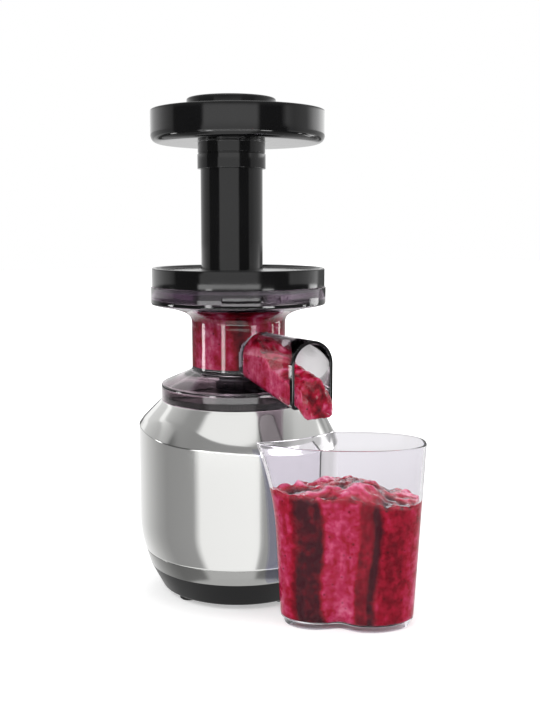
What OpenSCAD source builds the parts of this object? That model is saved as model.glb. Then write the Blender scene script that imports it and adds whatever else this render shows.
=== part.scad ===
// Cold press juicer: a round motor base, a juicing bowl with a wide spout, a lid with
// its feed tube, a food tray, a pusher and a jug. Millimetres, +Z up. The origin lies
// on the axis of the motor base, at the surface it stands on; the spout points to -Y.

/* [Motor base] */
// Largest radius of the silver housing
body_r = 86; // [82:0.5:92]
// Height of the rubber feet under the base cover
foot_h = 4; // [2:0.5:6]
// Radius of each rubber foot
foot_r = 8; // [6:0.5:10]
// Radius at which the feet sit
foot_ring_r = 56; // [48:1:57]
// Height of the black base cover
base_h = 21; // [18:0.5:24]
// Radius of the base cover where it meets the feet
base_foot_r = 64.5; // [63:0.5:68]
// Radius of the base cover at the trim ring
base_top_r = 78; // [76:0.5:80]
// Height of the grey trim ring
ring_h = 13.5; // [8:0.5:18]
// Radius of the trim ring at the silver housing
ring_top_r = 82; // [80:0.5:85]
// Height of the silver housing, from the trim ring to the bowl's seat
housing_h = 128; // [124:0.5:150]
// Height over which the housing swells from the trim ring to its full radius
swell_h = 26; // [20:1:45]
// Radius of the flat top of the housing
seat_r = 67; // [66.5:0.5:72]
// Slope of the shoulder on its high side, in degrees from the vertical
shoulder_high_deg = 45; // [40:1:50]
// Slope of the shoulder on its low side, in degrees from the vertical
shoulder_low_deg = 28; // [24:1:36]
// Direction of the shoulder's high side, in degrees from +X
shoulder_dir = 135; // [0:5:355]
// Wall of the housing
housing_wall = 2.6; // [2:0.1:3.5]
// Thickness of the housing's top plate
housing_top = 3.5; // [2.5:0.1:5]
// Wall of the base cover
base_wall = 2.5; // [2:0.1:3.5]

/* [Gear train] */
// Teeth of the three pinions
pinion_teeth = 12; // [12:1:14]
// Teeth of the first gear, which the motor drives
gear_a_teeth = 60; // [54:1:62]
// Teeth of the second gear
gear_b_teeth = 48; // [44:1:50]
// Teeth of the output gear
gear_out_teeth = 44; // [42:1:46]
// Tooth module of the first stage
mod_1 = 1; // [0.9:0.05:1]
// Tooth module of the second stage
mod_2 = 1.25; // [1.15:0.05:1.25]
// Tooth module of the output stage
mod_3 = 1.5; // [1.4:0.05:1.5]
// Face width of the first gear
face_1 = 8; // [6:0.5:9]
// Face width of the second gear
face_2 = 10; // [8:0.5:11]
// Face width of the output gear
face_3 = 12; // [10:0.5:13]
// Radius of the fixed gear axles
axle_r = 3; // [2.5:0.25:3.5]
// Radius of the output shaft
shaft_r = 6; // [5:0.25:6.5]
// Radius of the hexagonal drive head, across its corners
drive_hex_r = 7.6; // [7:0.1:8]
// Outer radius of the ball bearing on the output shaft
bearing_r = 14; // [13:0.5:16]

/* [Motor] */
// Outer radius of the motor can
can_r = 27; // [25:0.5:30]
// Length of the motor can
can_h = 52; // [46:1:56]
// Radius of the motor shaft
motor_shaft_r = 2.5; // [2:0.25:3]
// Radius of the laminated rotor
rotor_r = 17; // [14:0.5:17]
// Radius of the cooling fan
fan_r = 22; // [16:1:26]

/* [Juice bowl] */
// Radius of the skirt that covers the seat
skirt_r = 66.5; // [66:0.5:71]
// Height of the skirt
skirt_h = 13.5; // [12:0.5:18]
// Height of the cone between skirt and neck
cone_h = 11.5; // [10:0.5:16]
// Outer radius of the juicing chamber
neck_r = 40; // [38:0.5:42]
// Height of the straight part of the chamber
neck_h = 38; // [36:1:50]
// Height of the flare between chamber and flange
flare_h = 20; // [18:0.5:24]
// Outer radius of the flange
flange_r = 74.5; // [74:0.5:78]
// Height of the flange
flange_h = 13; // [12:0.5:18]
// Wall of the bowl
bowl_wall = 2.5; // [2:0.1:3]
// Outer width of the spout
spout_w = 38; // [32:1:42]
// Distance from the axis to the spout's mouth
spout_reach = 113; // [104:1:120]
// Height of the spout's roof above the foot of the chamber
spout_rise = 35; // [30:1:37]
// Fall of the spout's floor, in degrees
spout_fall = 12.7; // [8:0.1:15]

// Direction of the small juice outlet, in degrees from +X
outlet_dir = 58; // [45:1:80]
// Distance from the axis to the mouth of the juice outlet
outlet_reach = 97; // [92:1:104]
// Outer radius of the juice outlet
outlet_r = 9; // [8:0.5:11]

/* [Strainer and auger] */
// Wall of the strainer
strainer_wall = 1.4; // [1.2:0.1:2]
// Number of slots in the strainer
strainer_slots = 24; // [12:1:30]
// Width of a strainer slot
slot_w = 1; // [0.8:0.1:1.4]
// Radius of the auger's screw flight
auger_r = 32; // [28:0.5:33]
// Radius of the auger's core at its foot
auger_core_r = 22; // [20:0.5:24]
// Radius of the auger's core at its top
auger_top_r = 11; // [9:0.5:13]
// Turns of the screw flight
auger_turns = 1.5; // [1:0.25:2]
// Radius of the pin that steadies the auger in the lid
auger_pin_r = 3; // [2.5:0.1:3.5]

/* [Lid and feed tube] */
// Radius of the lid
lid_r = 73.5; // [72:0.5:77]
// Height of the lid above the bowl's flange
lid_h = 15.5; // [12:0.5:20]
// Wall of the lid
lid_wall = 2.6; // [2:0.1:3.2]
// Depth of the shallow dish in the lid's top
lid_dish = 2; // [1:0.25:4]
// Outer radius of the feed tube
tube_r = 25.5; // [24:0.5:28]
// Wall of the feed tube
tube_wall = 2.5; // [2:0.1:3]
// Height of the feed tube above the lid
tube_h = 103; // [80:1:130]
// Distance from the bowl's axis to the feed tube's axis
tube_offset = 20.5; // [18:0.5:24]
// Direction of the feed tube's axis, in degrees from +X
tube_dir = 225; // [200:5:250]

/* [Food tray and pusher] */
// Radius of the food tray
tray_r = 73; // [68:0.5:80]
// Height of the food tray
tray_h = 27; // [22:0.5:34]
// Radius of the round edge under the tray
tray_edge_r = 9; // [6:0.5:12]
// Wall of the food tray
tray_wall = 2.6; // [2:0.1:3.2]
// Height of the collar that holds the tray on the tube
collar_h = 22; // [18:1:30]
// Wall of the collar
collar_wall = 2.2; // [1.8:0.1:3]
// Radius of the pusher's cap
cap_r = 36.5; // [34:0.5:40]
// Height of the pusher's cap
cap_h = 32; // [28:0.5:38]
// Radius of the pusher's stem
stem_r = 22.2; // [20.5:0.1:22.4]
// Length of the pusher's stem below the cap
stem_h = 98; // [60:1:100]

/* [Jug] */
// Height of the jug
jug_h = 146.5; // [120:0.5:150]
// Length of the jug at its rim, without the lip
jug_top_l = 122; // [116:1:126]
// Depth of the jug at its rim
jug_top_d = 74; // [66:1:80]
// Length of the jug at its floor
jug_foot_l = 106; // [98:1:112]
// Depth of the jug at its floor
jug_foot_d = 64; // [58:1:72]
// How far the pouring lip reaches past the end of the jug
jug_lip = 12; // [6:0.5:14]
// Depth of the grip hollow in the front wall, at the foot
jug_grip = 10; // [4:0.5:11]
// Gap between the motor base and the hollow in the jug's back that fits round it
jug_clear = 4.5; // [3:0.5:8]
// Wall of the jug
jug_wall = 2.2; // [1.8:0.1:3]
// Height of the foot ring under the jug's floor
jug_foot_h = 5; // [4:0.5:8]
// Distance from the motor base's axis to the jug's middle
jug_reach = 119; // [117:1:150]
// Side step of the jug's middle from the spout's line
jug_side = 30; // [20:1:36]
// Turn of the jug on the table, in degrees
jug_turn = -35; // [-40:1:-20]

/* [Switch] */
// Width of the rocker switch's frame
switch_w = 26; // [22:0.5:30]
// Height of the rocker switch's frame
switch_h = 36; // [30:0.5:42]
// Height of the switch's middle above the foot of the housing
switch_rise = 40; // [34:1:42]

/* [Hidden] */
$fn = 96;

// Clearances
fit = 0.02;      // pressed or glued parts of one body
run = 0.05;      // a shaft in its bore, on the radius
gap = 0.3;       // faces of bodies that come apart
free = 1.5;      // parts that turn past a wall
cut = 1;         // how far a cutting shape runs past a face
tiny = 0.01;

// Heights in the motor base
base_z = foot_h;
ring_z = base_z + base_h;
housing_z = ring_z + ring_h;
seat_z = housing_z + housing_h;
plate_z = seat_z - housing_top;
base_floor_z = base_z + base_wall;
tongue_r = ring_top_r - housing_wall - gap;
tongue_h = 3;

// Gearbox, hung from the housing's top plate
bearing_h = 8;
tower_h = 14;
tower_r = bearing_r + 16;
roof_t = 4.5;
gearbox_wall = 2.2;
gearbox_r = body_r - 10;
gearbox_top_r = seat_r - 7;
gearbox_plate = 5;
roof_z = plate_z - tower_h;
out_top = roof_z - roof_t - free;
out_z = out_top - face_3;
mid_z = out_z - 2 - face_2;
low_z = mid_z - 2 - face_1;
gearbox_floor_z = low_z - 2 * free;
gearbox_z = gearbox_floor_z - gearbox_plate;

// Gear axes: output on the origin, gear B behind it, gear A beside B, then the motor
pressure_deg = 25;
dist_3 = mod_3 * (pinion_teeth + gear_out_teeth) / 2;
dist_2 = mod_2 * (pinion_teeth + gear_b_teeth) / 2;
dist_1 = mod_1 * (pinion_teeth + gear_a_teeth) / 2;
dir_3 = 90;
dir_2 = 210;
dir_1 = 290;
function polar(r, a) = [r * cos(a), r * sin(a)];
axis_b = polar(dist_3, dir_3);
axis_a = axis_b + polar(dist_2, dir_2);
axis_m = axis_a + polar(dist_1, dir_1);
hub_gap = 0.5;

// Motor below the gearbox
end_cap_h = 4;
can_wall = 2;
magnet_t = 7;
can_z = gearbox_z - can_h;
end_cap_z = can_z - end_cap_h;
rotor_h = can_h - 24;
rotor_z = can_z + 13;
bush_h = 5;
commutator_r = 7;
bush_r = 5.5;
fan_h = 8;
fan_z = end_cap_z - bush_h - 1 - fan_h;
fan_blades = 9;

// Bowl heights
bowl_z = seat_z + gap;
cone_z = bowl_z + skirt_h;
neck_z = cone_z + cone_h;
chamber_z = neck_z + bowl_wall;
flare_z = neck_z + neck_h;
flange_z = flare_z + flare_h;
flange_edge = 2;
flare_steps = 12;
rim_z = flange_z + flange_h;
bowl_edge = 3;
hub_r = 17;
hub_bore_r = drive_hex_r + 2;
rib_r = 45;
spout_root = neck_r - bowl_wall - 2;
spout_from = neck_r - 10;
spout_rib_w = 3;
spout_rib_h = 6;

// Juice outlet and its flap
outlet_z = chamber_z + outlet_r - bowl_wall + 1;
outlet_wall = 2;
knuckle_w = 6.8;
ear_t = 2.5;
ear_r = 2.8;
drip_t = 2.6;
drip_pin_r = 1.3;
drip_y = outlet_reach + gap + drip_t / 2;
drip_z = outlet_r + 3.6;

// Seat boss inside the bowl's skirt
seat_disc_h = 4.5;
boss_r = 20;
boss_h = skirt_h + 4;
seal_r = 11;
seal_h = 6;
screw_pcr = tower_r - 5;

// Screws
screw_r = 1.9;
screw_head_r = 3.6;
screw_head_h = 2.4;
screw_hole_r = screw_r + 0.2;
base_post_r = 5;
base_screw_r = base_foot_r - base_wall - base_post_r - 1;
base_screw_dirs = [115, 235, 355];
base_screw_grip = 16;
foot_dirs = [10, 100, 190, 280];
gearbox_screw_dirs = [40, 120, 195, 265, 335];
seat_screw_dirs = [30, 150, 270];

// Strainer and auger
strainer_r = neck_r - bowl_wall - gap;
strainer_h = neck_h - 2;
strainer_ring_h = 4;
auger_z = chamber_z + gap;
auger_h = neck_h + 12;
auger_rim_h = 3;
socket_h = 17;
flight_w = 7;
auger_spigot_h = 10;
pin_reach = 7;

// Lid
lid_z = rim_z + gap;
lid_top = lid_z + lid_h;
lid_plug_r = flange_r - bowl_wall - gap;
lid_plug_h = flange_h - 2;
lid_plate_t = 3;
lid_plate_z = rim_z - lid_plug_h;
boss_pin_r = auger_pin_r + 3.4;
lid_boss_z = auger_z + auger_h + 1;
lid_seal_t = 1.2;
lid_seal_h = 2;
lid_seal_z = rim_z - 3;
tube_axis = polar(tube_offset, tube_dir);
tube_bore_r = tube_r - tube_wall;
tube_top = lid_top + tube_h;
lug_deg = 9;
lug_h = 3.5;
lug_out = 1.8;
lug_dirs = [20, 140, 260];
lug_play = 2;
twist_deg = 24;
window_h = lug_h + 2 * gap;
window_z = rim_z - lid_plug_h + 2;

// Tray
tray_z = tube_top + gap;
tray_floor_z = tray_z + tray_wall;
collar_r = tube_r + gap + collar_wall;
groove_d = 0.7;
groove_at = 9;

// Pusher
cap_z = tray_floor_z + gap;
cap_wall = 2.4;
cap_round = 2;
stem_z = cap_z - stem_h;
stem_wall = 2.2;
stem_top = cap_z + cap_h - cap_wall;
pusher_ring_h = 4;
pusher_ring_z = stem_z + 6;

// Jug
jug_power = 2.4;
jug_points = 64;
jug_rings = 12;
jug_lip_start = 0.5;
jug_lip_dir = 186;
jug_lip_deg = 13;
jug_grip_dir = 252;
jug_grip_deg = 32;
jug_soft = 2;
jug_at = [jug_side, -jug_reach];
jug_away = norm(jug_at);
jug_base_dir = atan2(-jug_at[1], -jug_at[0]) - jug_turn;
jug_foot_in = 2.6;
jug_foot_wall = 3;
jug_floor_z = jug_foot_h + jug_wall;

// Rocker switch on the back
switch_z = housing_z + switch_rise;
switch_y = body_r - 1.2;
switch_depth = 16;
switch_flange = 2.6;
switch_lip = 3;
rocker_deg = 10;
rocker_r = 1.5;
rocker_w = switch_w - 2 * switch_lip - 4.6;
rocker_h = switch_h - 2 * switch_lip - 5;

// Interlock
plunger_r = 2.5;
plunger_at = [rib_r, 0];
plunger_top = bowl_z + seat_disc_h + 2;
micro_l = 20;
micro_w = 7;
micro_h = tower_h - 4;
plunger_z = roof_z + micro_h - 4;

// Cord outlet
gland_r = 6;
gland_z = base_z + base_h / 2;
cord_r = 3.4;

// Circuit board
board_l = 52;
board_w = 28;
board_t = 1.6;
board_z = base_floor_z + 10;
board_at = [10, 44];
board_post_in = 4;

// ---------- helpers ----------

module at(p, z = 0) translate([p[0], p[1], z]) children();

module ring(r_out, r_in, h) difference() {
    cylinder(r = r_out, h = h);
    translate([0, 0, -cut]) cylinder(r = r_in, h = h + 2 * cut);
}

// points of an arc from angle a0 to a1
function arc(c, r, a0, a1, n = 6) =
    [for (i = [0 : n]) c + polar(r, a0 + (a1 - a0) * i / n)];

// a stretch of ring between two angles
module ring_part(r_out, r_in, h, a0, a1)
    rotate([0, 0, a0]) rotate_extrude(angle = a1 - a0)
        translate([r_in, 0]) square([r_out - r_in, h]);

module screw(length) {
    cylinder(r = screw_r, h = length + tiny);
    translate([0, 0, length]) difference() {
        cylinder(r = screw_head_r, h = screw_head_h);
        translate([0, 0, screw_head_h - 1.4]) cylinder(r = 1.8, h = 3, $fn = 6);
    }
}

// ---------- gear teeth ----------

backlash = 0.14;
function inv_deg(a) = tan(a) * 180 / PI - a;
// half the angle that a tooth takes at radius r
function tooth_half(m, n, r) =
    let (rp = m * n / 2, rb = rp * cos(pressure_deg),
         here = acos(min(1, rb / max(rb, r))))
    90 / n - backlash / 2 / rp * 180 / PI + inv_deg(pressure_deg) - inv_deg(here);
function tooth_points(m, n) =
    let (rp = m * n / 2, rf = rp - 1.2 * m, ra = rp + 0.95 * m,
         rb = rp * cos(pressure_deg), r0 = max(rf, rb), steps = 4,
         radii = concat([rf], [for (i = [0 : steps]) r0 + (ra - r0) * i / steps]))
    concat([for (r = radii) [r, -tooth_half(m, n, r)]],
           [for (i = [len(radii) - 1 : -1 : 0]) [radii[i], tooth_half(m, n, radii[i])]]);
module gear_2d(m, n) polygon([
    for (i = [0 : n - 1], p = tooth_points(m, n)) polar(p[0], p[1] + 360 * i / n)
]);
module spur(m, n, face, phase) rotate([0, 0, phase]) linear_extrude(face) gear_2d(m, n);
half_tooth = 180 / pinion_teeth;

// ---------- motor base ----------

function swell_r(t) = body_r - (body_r - ring_top_r) * pow(1 - t, 2);

// a solid of the housing's shape, set in from its outside by a wall
module housing_form(inset, top) {
    rise = 2 * seat_r / (tan(shoulder_high_deg) + tan(shoulder_low_deg));
    shift = rise * tan(shoulder_high_deg) - seat_r;
    half_deg = (shoulder_high_deg + shoulder_low_deg) / 2;
    tilt_deg = (shoulder_high_deg - shoulder_low_deg) / 2;
    cone_len = housing_h + rise + 60;
    intersection() {
        rotate_extrude() polygon(concat(
            [[0, housing_z - cut * (inset > 0 ? 1 : 0)]],
            [[ring_top_r - inset, housing_z - cut * (inset > 0 ? 1 : 0)]],
            [for (i = [0 : 8]) [swell_r(i / 8) - inset, housing_z + swell_h * i / 8]],
            [[body_r - inset, top], [0, top]]));
        rotate([0, 0, shoulder_dir]) translate([-shift, 0, seat_z + rise])
            rotate([0, -tilt_deg, 0])
                translate([0, 0, -cone_len - inset / sin(half_deg)])
                    cylinder(r1 = cone_len * tan(half_deg), r2 = 0, h = cone_len);
    }
}

module motor_housing() color("silver") {
    difference() {
        housing_form(0, seat_z);
        housing_form(housing_wall, plate_z);
        translate([0, 0, plate_z - cut]) cylinder(r = boss_r, h = housing_top + 2 * cut);
        for (a = seat_screw_dirs) at(polar(screw_pcr, a), plate_z - cut)
            cylinder(r = screw_hole_r, h = housing_top + 2 * cut);
        at(plunger_at, plate_z - cut)
            cylinder(r = plunger_r + gap, h = housing_top + 2 * cut);
        translate([-switch_w / 2 + switch_lip, 0, switch_z - switch_h / 2 + switch_lip])
            cube([switch_w - 2 * switch_lip, body_r + cut, switch_h - 2 * switch_lip]);
        translate([-switch_w / 2 - fit, switch_y - fit, switch_z - switch_h / 2 - fit])
            cube([switch_w + 2 * fit, body_r, switch_h + 2 * fit]);
    }
    for (a = base_screw_dirs) rotate([0, 0, a]) housing_post();
}

// a screw post with the rib that ties it to the wall
module housing_post() {
    post_h = base_screw_grip + 8;
    difference() {
        intersection() {
            union() {
                translate([base_screw_r, 0, housing_z]) cylinder(r = base_post_r, h = post_h);
                translate([base_screw_r, -1.5, housing_z + tongue_h + gap])
                    cube([body_r - base_screw_r, 3, post_h - tongue_h - gap]);
            }
            housing_form(housing_wall / 2, plate_z);
        }
        translate([base_screw_r, 0, housing_z - cut])
            cylinder(r = screw_r + fit, h = base_screw_grip + 2 * cut);
    }
}

module trim_ring() color("dimgray") rotate_extrude() polygon([
    [base_top_r, ring_z], [ring_top_r, housing_z], [tongue_r, housing_z],
    [tongue_r, housing_z + tongue_h], [tongue_r - 2, housing_z + tongue_h],
    [tongue_r - 2, housing_z],
    [base_top_r - base_wall - 2, ring_z]
]);

module base_cover() color("#262626") {
    difference() {
        union() {
            difference() {
                rotate_extrude() polygon(base_profile(0));
                rotate_extrude() polygon(base_profile(base_wall));
            }
            for (a = base_screw_dirs) at(polar(base_screw_r, a), base_z)
                cylinder(r = base_post_r, h = housing_z - base_z);
            for (x = [-1, 1], y = [-1, 1])
                at(board_at + [x * (board_l / 2 - board_post_in),
                               y * (board_w / 2 - board_post_in)], base_z)
                    cylinder(r = 2.5, h = board_z - base_z);
        }
        for (a = base_screw_dirs) at(polar(base_screw_r, a), base_z - cut) {
            cylinder(r = screw_hole_r, h = housing_z - base_z + 2 * cut);
            cylinder(r = screw_head_r + gap, h = screw_head_h + 1.6 + cut);
        }
        for (i = [-4 : 4]) at(axis_m + [i * 4.5, 0], base_z - cut)
            translate([-1, -fan_r * 0.6, 0]) cube([2, fan_r * 1.2, base_wall + 2 * cut]);
        translate([0, base_foot_r - 8, gland_z]) rotate([-90, 0, 0])
            cylinder(r = gland_r + fit, h = 30);
    }
}

// outline of the base cover, set in by a wall; the open top leaves a step for the ring
function base_profile(inset) = concat(
    [[0, base_z + inset], [base_foot_r - inset, base_z + inset]],
    arc([base_foot_r - inset, base_z + 4], 4 - min(3.5, inset), -90, -35, 4),
    [[base_top_r - inset, ring_z], [base_top_r - inset, ring_z + (inset > 0 ? cut : 0)],
     [0, ring_z + (inset > 0 ? cut : 0)]]);

module foot_pads() color("#1b1b1b") for (a = foot_dirs)
    at(polar(foot_ring_r, a)) {
        cylinder(r1 = foot_r - 1, r2 = foot_r, h = 1);
        translate([0, 0, 1]) cylinder(r = foot_r, h = foot_h - 1);
    }

module base_screws() color("#8a8d90") for (a = base_screw_dirs)
    at(polar(base_screw_r, a), housing_z + base_screw_grip) mirror([0, 0, 1])
        screw(housing_z + base_screw_grip - base_z - screw_head_h - 1.6);

module bowl_seat() color("#1a1a1a") difference() {
    union() {
        translate([0, 0, seat_z]) cylinder(r = skirt_r - bowl_wall - 3, h = seat_disc_h);
        translate([0, 0, plate_z]) cylinder(r = boss_r - fit, h = housing_top + boss_h);
        for (a = [0 : 120 : 240])
            translate([0, 0, seat_z + 1])
                ring_part(skirt_r - bowl_wall - gap, boss_r + 5, seat_disc_h, a + 40, a + 56);
    }
    translate([0, 0, plate_z - cut]) cylinder(r = shaft_r + gap, h = 80);
    translate([0, 0, seat_z + boss_h - seal_h]) cylinder(r = seal_r + fit, h = seal_h + cut);
    for (a = seat_screw_dirs) at(polar(screw_pcr, a), seat_z - cut) {
        cylinder(r = screw_hole_r, h = boss_h + 2 * cut);
        translate([0, 0, cut + 2]) cylinder(r = screw_head_r + gap, h = boss_h);
    }
    at(plunger_at, seat_z - cut) cylinder(r = plunger_r + gap, h = seat_disc_h + 2 * cut);
}

module seat_screws() color("#8a8d90") for (a = seat_screw_dirs)
    at(polar(screw_pcr, a), roof_z + 4) screw(seat_z + 2 - roof_z - 4);

module shaft_seal() color("#303030") translate([0, 0, seat_z + boss_h - seal_h])
    ring(seal_r, shaft_r + run, seal_h);

// ---------- gearbox ----------

module gearbox_cover() color("#b8bcc0") difference() {
    union() {
        rotate_extrude() polygon(gearbox_profile());
        translate([0, 0, roof_z - roof_t]) cylinder(r = tower_r, h = tower_h + roof_t);
        for (a = gearbox_screw_dirs) gearbox_post(a);
        for (p = [axis_a, axis_b]) at(p, roof_z - roof_t - 1) cylinder(r = axle_r + 3, h = 2);
    }
    translate([0, 0, gearbox_floor_z - cut])
        cylinder(r = shaft_r + free, h = plate_z - gearbox_floor_z + 2 * cut);
    translate([0, 0, plate_z - bearing_h]) cylinder(r = bearing_r + fit, h = 30);
    for (a = seat_screw_dirs) at(polar(screw_pcr, a), roof_z) cylinder(r = screw_r + fit, h = 30);
    for (p = [axis_a, axis_b]) at(p, roof_z - roof_t - 2) cylinder(r = axle_r + fit, h = 5);
    for (a = gearbox_screw_dirs) at(polar(gearbox_r - 4.5, a), gearbox_floor_z - cut)
        cylinder(r = screw_r + fit, h = 14);
}

// a bell with a sloped shoulder that stays inside the housing's own
function gearbox_profile() = [
    [gearbox_r, gearbox_floor_z], [gearbox_r, out_z], [gearbox_top_r, roof_z], [0, roof_z],
    [0, roof_z - roof_t], [gearbox_top_r - gearbox_wall, roof_z - roof_t],
    [gearbox_r - gearbox_wall, out_z - 1], [gearbox_r - gearbox_wall, gearbox_floor_z]
];

module gearbox_post(a) at(polar(gearbox_r - 4.5, a), gearbox_floor_z)
    cylinder(r = 4.5, h = out_z - gearbox_floor_z);

module gearbox_base() color("#a9adb1") difference() {
    translate([0, 0, gearbox_z]) cylinder(r = gearbox_r, h = gearbox_plate);
    at(axis_m, gearbox_z - cut) cylinder(r = bush_r + fit, h = gearbox_plate + 2 * cut);
    for (p = [axis_a, axis_b]) at(p, gearbox_z + 1) cylinder(r = axle_r + fit, h = 9);
    for (a = gearbox_screw_dirs) at(polar(gearbox_r - 4.5, a), gearbox_z - cut)
        cylinder(r = screw_hole_r, h = gearbox_plate + 2 * cut);
    translate([0, 0, gearbox_z + 1]) cylinder(r = shaft_r + run, h = 9);
}

module gearbox_screws() color("#8a8d90") for (a = gearbox_screw_dirs)
    at(polar(gearbox_r - 4.5, a), gearbox_floor_z + 12) mirror([0, 0, 1])
        screw(12 + gearbox_plate);

module gear_axle(p) at(p, gearbox_z + 1)
    cylinder(r = axle_r, h = roof_z - roof_t + 2.5 - gearbox_z - 1);
module gear_a_axle() color("#c9ccd0") gear_axle(axis_a);
module gear_b_axle() color("#c9ccd0") gear_axle(axis_b);

// compound gears: a large gear below and its pinion above, on one hub
module gear_a() color("#e4ddc8") at(axis_a) difference() {
    union() {
        translate([0, 0, low_z]) spur(mod_1, gear_a_teeth, face_1, dir_1);
        translate([0, 0, low_z + face_1 - tiny])
            spur(mod_2, pinion_teeth, mid_z + face_2 - low_z - face_1 + tiny,
                 dir_2 + 180 + half_tooth);
        translate([0, 0, gearbox_floor_z + hub_gap])
            cylinder(r = axle_r + 1.8, h = out_top - gearbox_floor_z - hub_gap);
    }
    axle_bore();
}

module gear_b() color("#d8c9a0") at(axis_b) difference() {
    union() {
        translate([0, 0, mid_z]) spur(mod_2, gear_b_teeth, face_2, dir_2);
        translate([0, 0, mid_z + face_2 - tiny])
            spur(mod_3, pinion_teeth, out_top - mid_z - face_2 + tiny,
                 dir_3 + 180 + half_tooth);
        translate([0, 0, gearbox_floor_z + hub_gap])
            cylinder(r = axle_r + 3, h = mid_z - gearbox_floor_z);
    }
    axle_bore();
}

module axle_bore() translate([0, 0, gearbox_z]) cylinder(r = axle_r + run, h = roof_z - gearbox_z);

module output_gear() color("#b9bdc2") difference() {
    union() {
        translate([0, 0, out_z]) spur(mod_3, gear_out_teeth, face_3, dir_3);
        translate([0, 0, out_z - 2]) cylinder(r = shaft_r + 4, h = 3);
    }
    translate([0, 0, out_z - 3]) cylinder(r = shaft_r + fit, h = face_3 + 4);
}

module output_shaft() color("#ccd0d4") {
    translate([0, 0, gearbox_z + 1.2]) cylinder(r = shaft_r, h = neck_z - 1 - gearbox_z);
    translate([0, 0, neck_z]) cylinder(r = drive_hex_r, h = auger_z + socket_h - 1 - neck_z, $fn = 6);
}

module output_bearing() color("#d6dade")
    translate([0, 0, plate_z - bearing_h]) ring(bearing_r, shaft_r + run, bearing_h);

// ---------- motor ----------

module motor_can() color("#8f9398") at(axis_m, can_z) difference() {
    cylinder(r = can_r, h = can_h);
    translate([0, 0, -cut]) cylinder(r = can_r - can_wall, h = can_h - can_wall + cut);
    translate([0, 0, can_h - can_wall - cut]) cylinder(r = bush_r + fit, h = can_wall + 2 * cut);
}

module motor_magnets() color("#4a4a4e") at(axis_m, rotor_z)
    for (a = [0, 180]) ring_part(can_r - can_wall - fit, can_r - can_wall - magnet_t, rotor_h,
                                 a + 20, a + 160);

module motor_end_cap() color("#3b3d40") at(axis_m, end_cap_z) difference() {
    union() {
        cylinder(r = can_r, h = end_cap_h);
        translate([0, 0, end_cap_h - tiny]) ring(can_r - can_wall - fit, can_r - can_wall - 3, 4);
    }
    translate([0, 0, -cut]) cylinder(r = bush_r + fit, h = 20);
}

module motor_brushes() color("#2c2c2c") at(axis_m, can_z)
    for (a = [90, 270]) rotate([0, 0, a])
        translate([commutator_r + run, -2.5, 0]) cube([9, 5, 6]);

module motor_bushes() color("#b08d57") at(axis_m) {
    translate([0, 0, end_cap_z - 1]) ring(bush_r, motor_shaft_r + run, bush_h);
    translate([0, 0, gearbox_z - can_wall]) ring(bush_r, motor_shaft_r + run, bush_h);
}

module motor_shaft() color("#cfd3d7") at(axis_m, fan_z)
    cylinder(r = motor_shaft_r, h = low_z + face_1 - fan_z);

module rotor_core() color("#777b80") at(axis_m, rotor_z) linear_extrude(rotor_h)
    difference() {
        circle(r = rotor_r);
        circle(r = motor_shaft_r + fit);
        for (a = [0 : 60 : 300]) rotate(a) translate([rotor_r * 0.55, -1.2])
            square([rotor_r, 2.4]);
    }

module rotor_windings() color("#b4652a") at(axis_m) {
    for (z = [rotor_z - 4, rotor_z + rotor_h]) translate([0, 0, z])
        ring(rotor_r - 1.5, motor_shaft_r + 1.5, 4);
    translate([0, 0, rotor_z - 5]) ring(rotor_r - 4, motor_shaft_r + fit, 1 + tiny);
    translate([0, 0, rotor_z - 4 + tiny]) ring(motor_shaft_r + 2, motor_shaft_r + fit, 4 - tiny);
    translate([0, 0, rotor_z + rotor_h]) ring(motor_shaft_r + 2, motor_shaft_r + fit, 4);
}

module commutator() color("#c07a3c") at(axis_m, can_z + 0.5)
    ring(commutator_r, motor_shaft_r + fit, rotor_z - 5.5 - can_z);

module cooling_fan() color("#24282c") at(axis_m, fan_z) {
    ring(6, motor_shaft_r + fit, fan_h);
    ring(fan_r, motor_shaft_r + fit, 1.5);
    for (i = [0 : fan_blades - 1]) rotate([0, 0, i * 360 / fan_blades])
        translate([5, -0.8, 0]) cube([fan_r - 6, 1.6, fan_h]);
}

module motor_pinion() color("#d3b25e") at(axis_m, low_z - 1) difference() {
    spur(mod_1, pinion_teeth, face_1 + 1, dir_1 + 180 + half_tooth);
    translate([0, 0, -cut]) cylinder(r = motor_shaft_r + fit, h = face_1 + 3);
}

// ---------- electrics ----------

module circuit_board() color("#1f5d3a") at(board_at, board_z)
    translate([-board_l / 2, -board_w / 2, 0]) cube([board_l, board_w, board_t]);

module board_parts() color("#20242a") at(board_at, board_z + board_t) {
    translate([-20, -8, 0]) cube([18, 15, 12]);
    translate([4, 2, 0]) cylinder(r = 5, h = 9);
    translate([16, 2, 0]) cylinder(r = 5, h = 9);
    translate([2, -11, 0]) cube([18, 5, 6]);
}

module switch_frame() color("#161616") difference() {
    union() {
        translate([-switch_w / 2, switch_y, switch_z - switch_h / 2])
            cube([switch_w, switch_flange, switch_h]);
        translate([-switch_w / 2 + switch_lip + gap, switch_y - switch_depth,
                   switch_z - switch_h / 2 + switch_lip + gap])
            cube([switch_w - 2 * switch_lip - 2 * gap, switch_depth + tiny,
                  switch_h - 2 * switch_lip - 2 * gap]);
    }
    translate([-rocker_w / 2 - gap, switch_y - switch_depth + 3,
               switch_z - rocker_h / 2 - gap])
        cube([rocker_w + 2 * gap, switch_depth + 10, rocker_h + 2 * gap]);
    translate([-switch_w, switch_y, switch_z]) rotate([0, 90, 0])
        cylinder(r = rocker_r + fit, h = switch_w + rocker_w / 2 + 2);
}

module switch_pivot() color("#c9ccd0")
    translate([-rocker_w / 2 - 1.6, switch_y, switch_z]) rotate([0, 90, 0])
        cylinder(r = rocker_r, h = rocker_w + 3.2);

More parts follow.
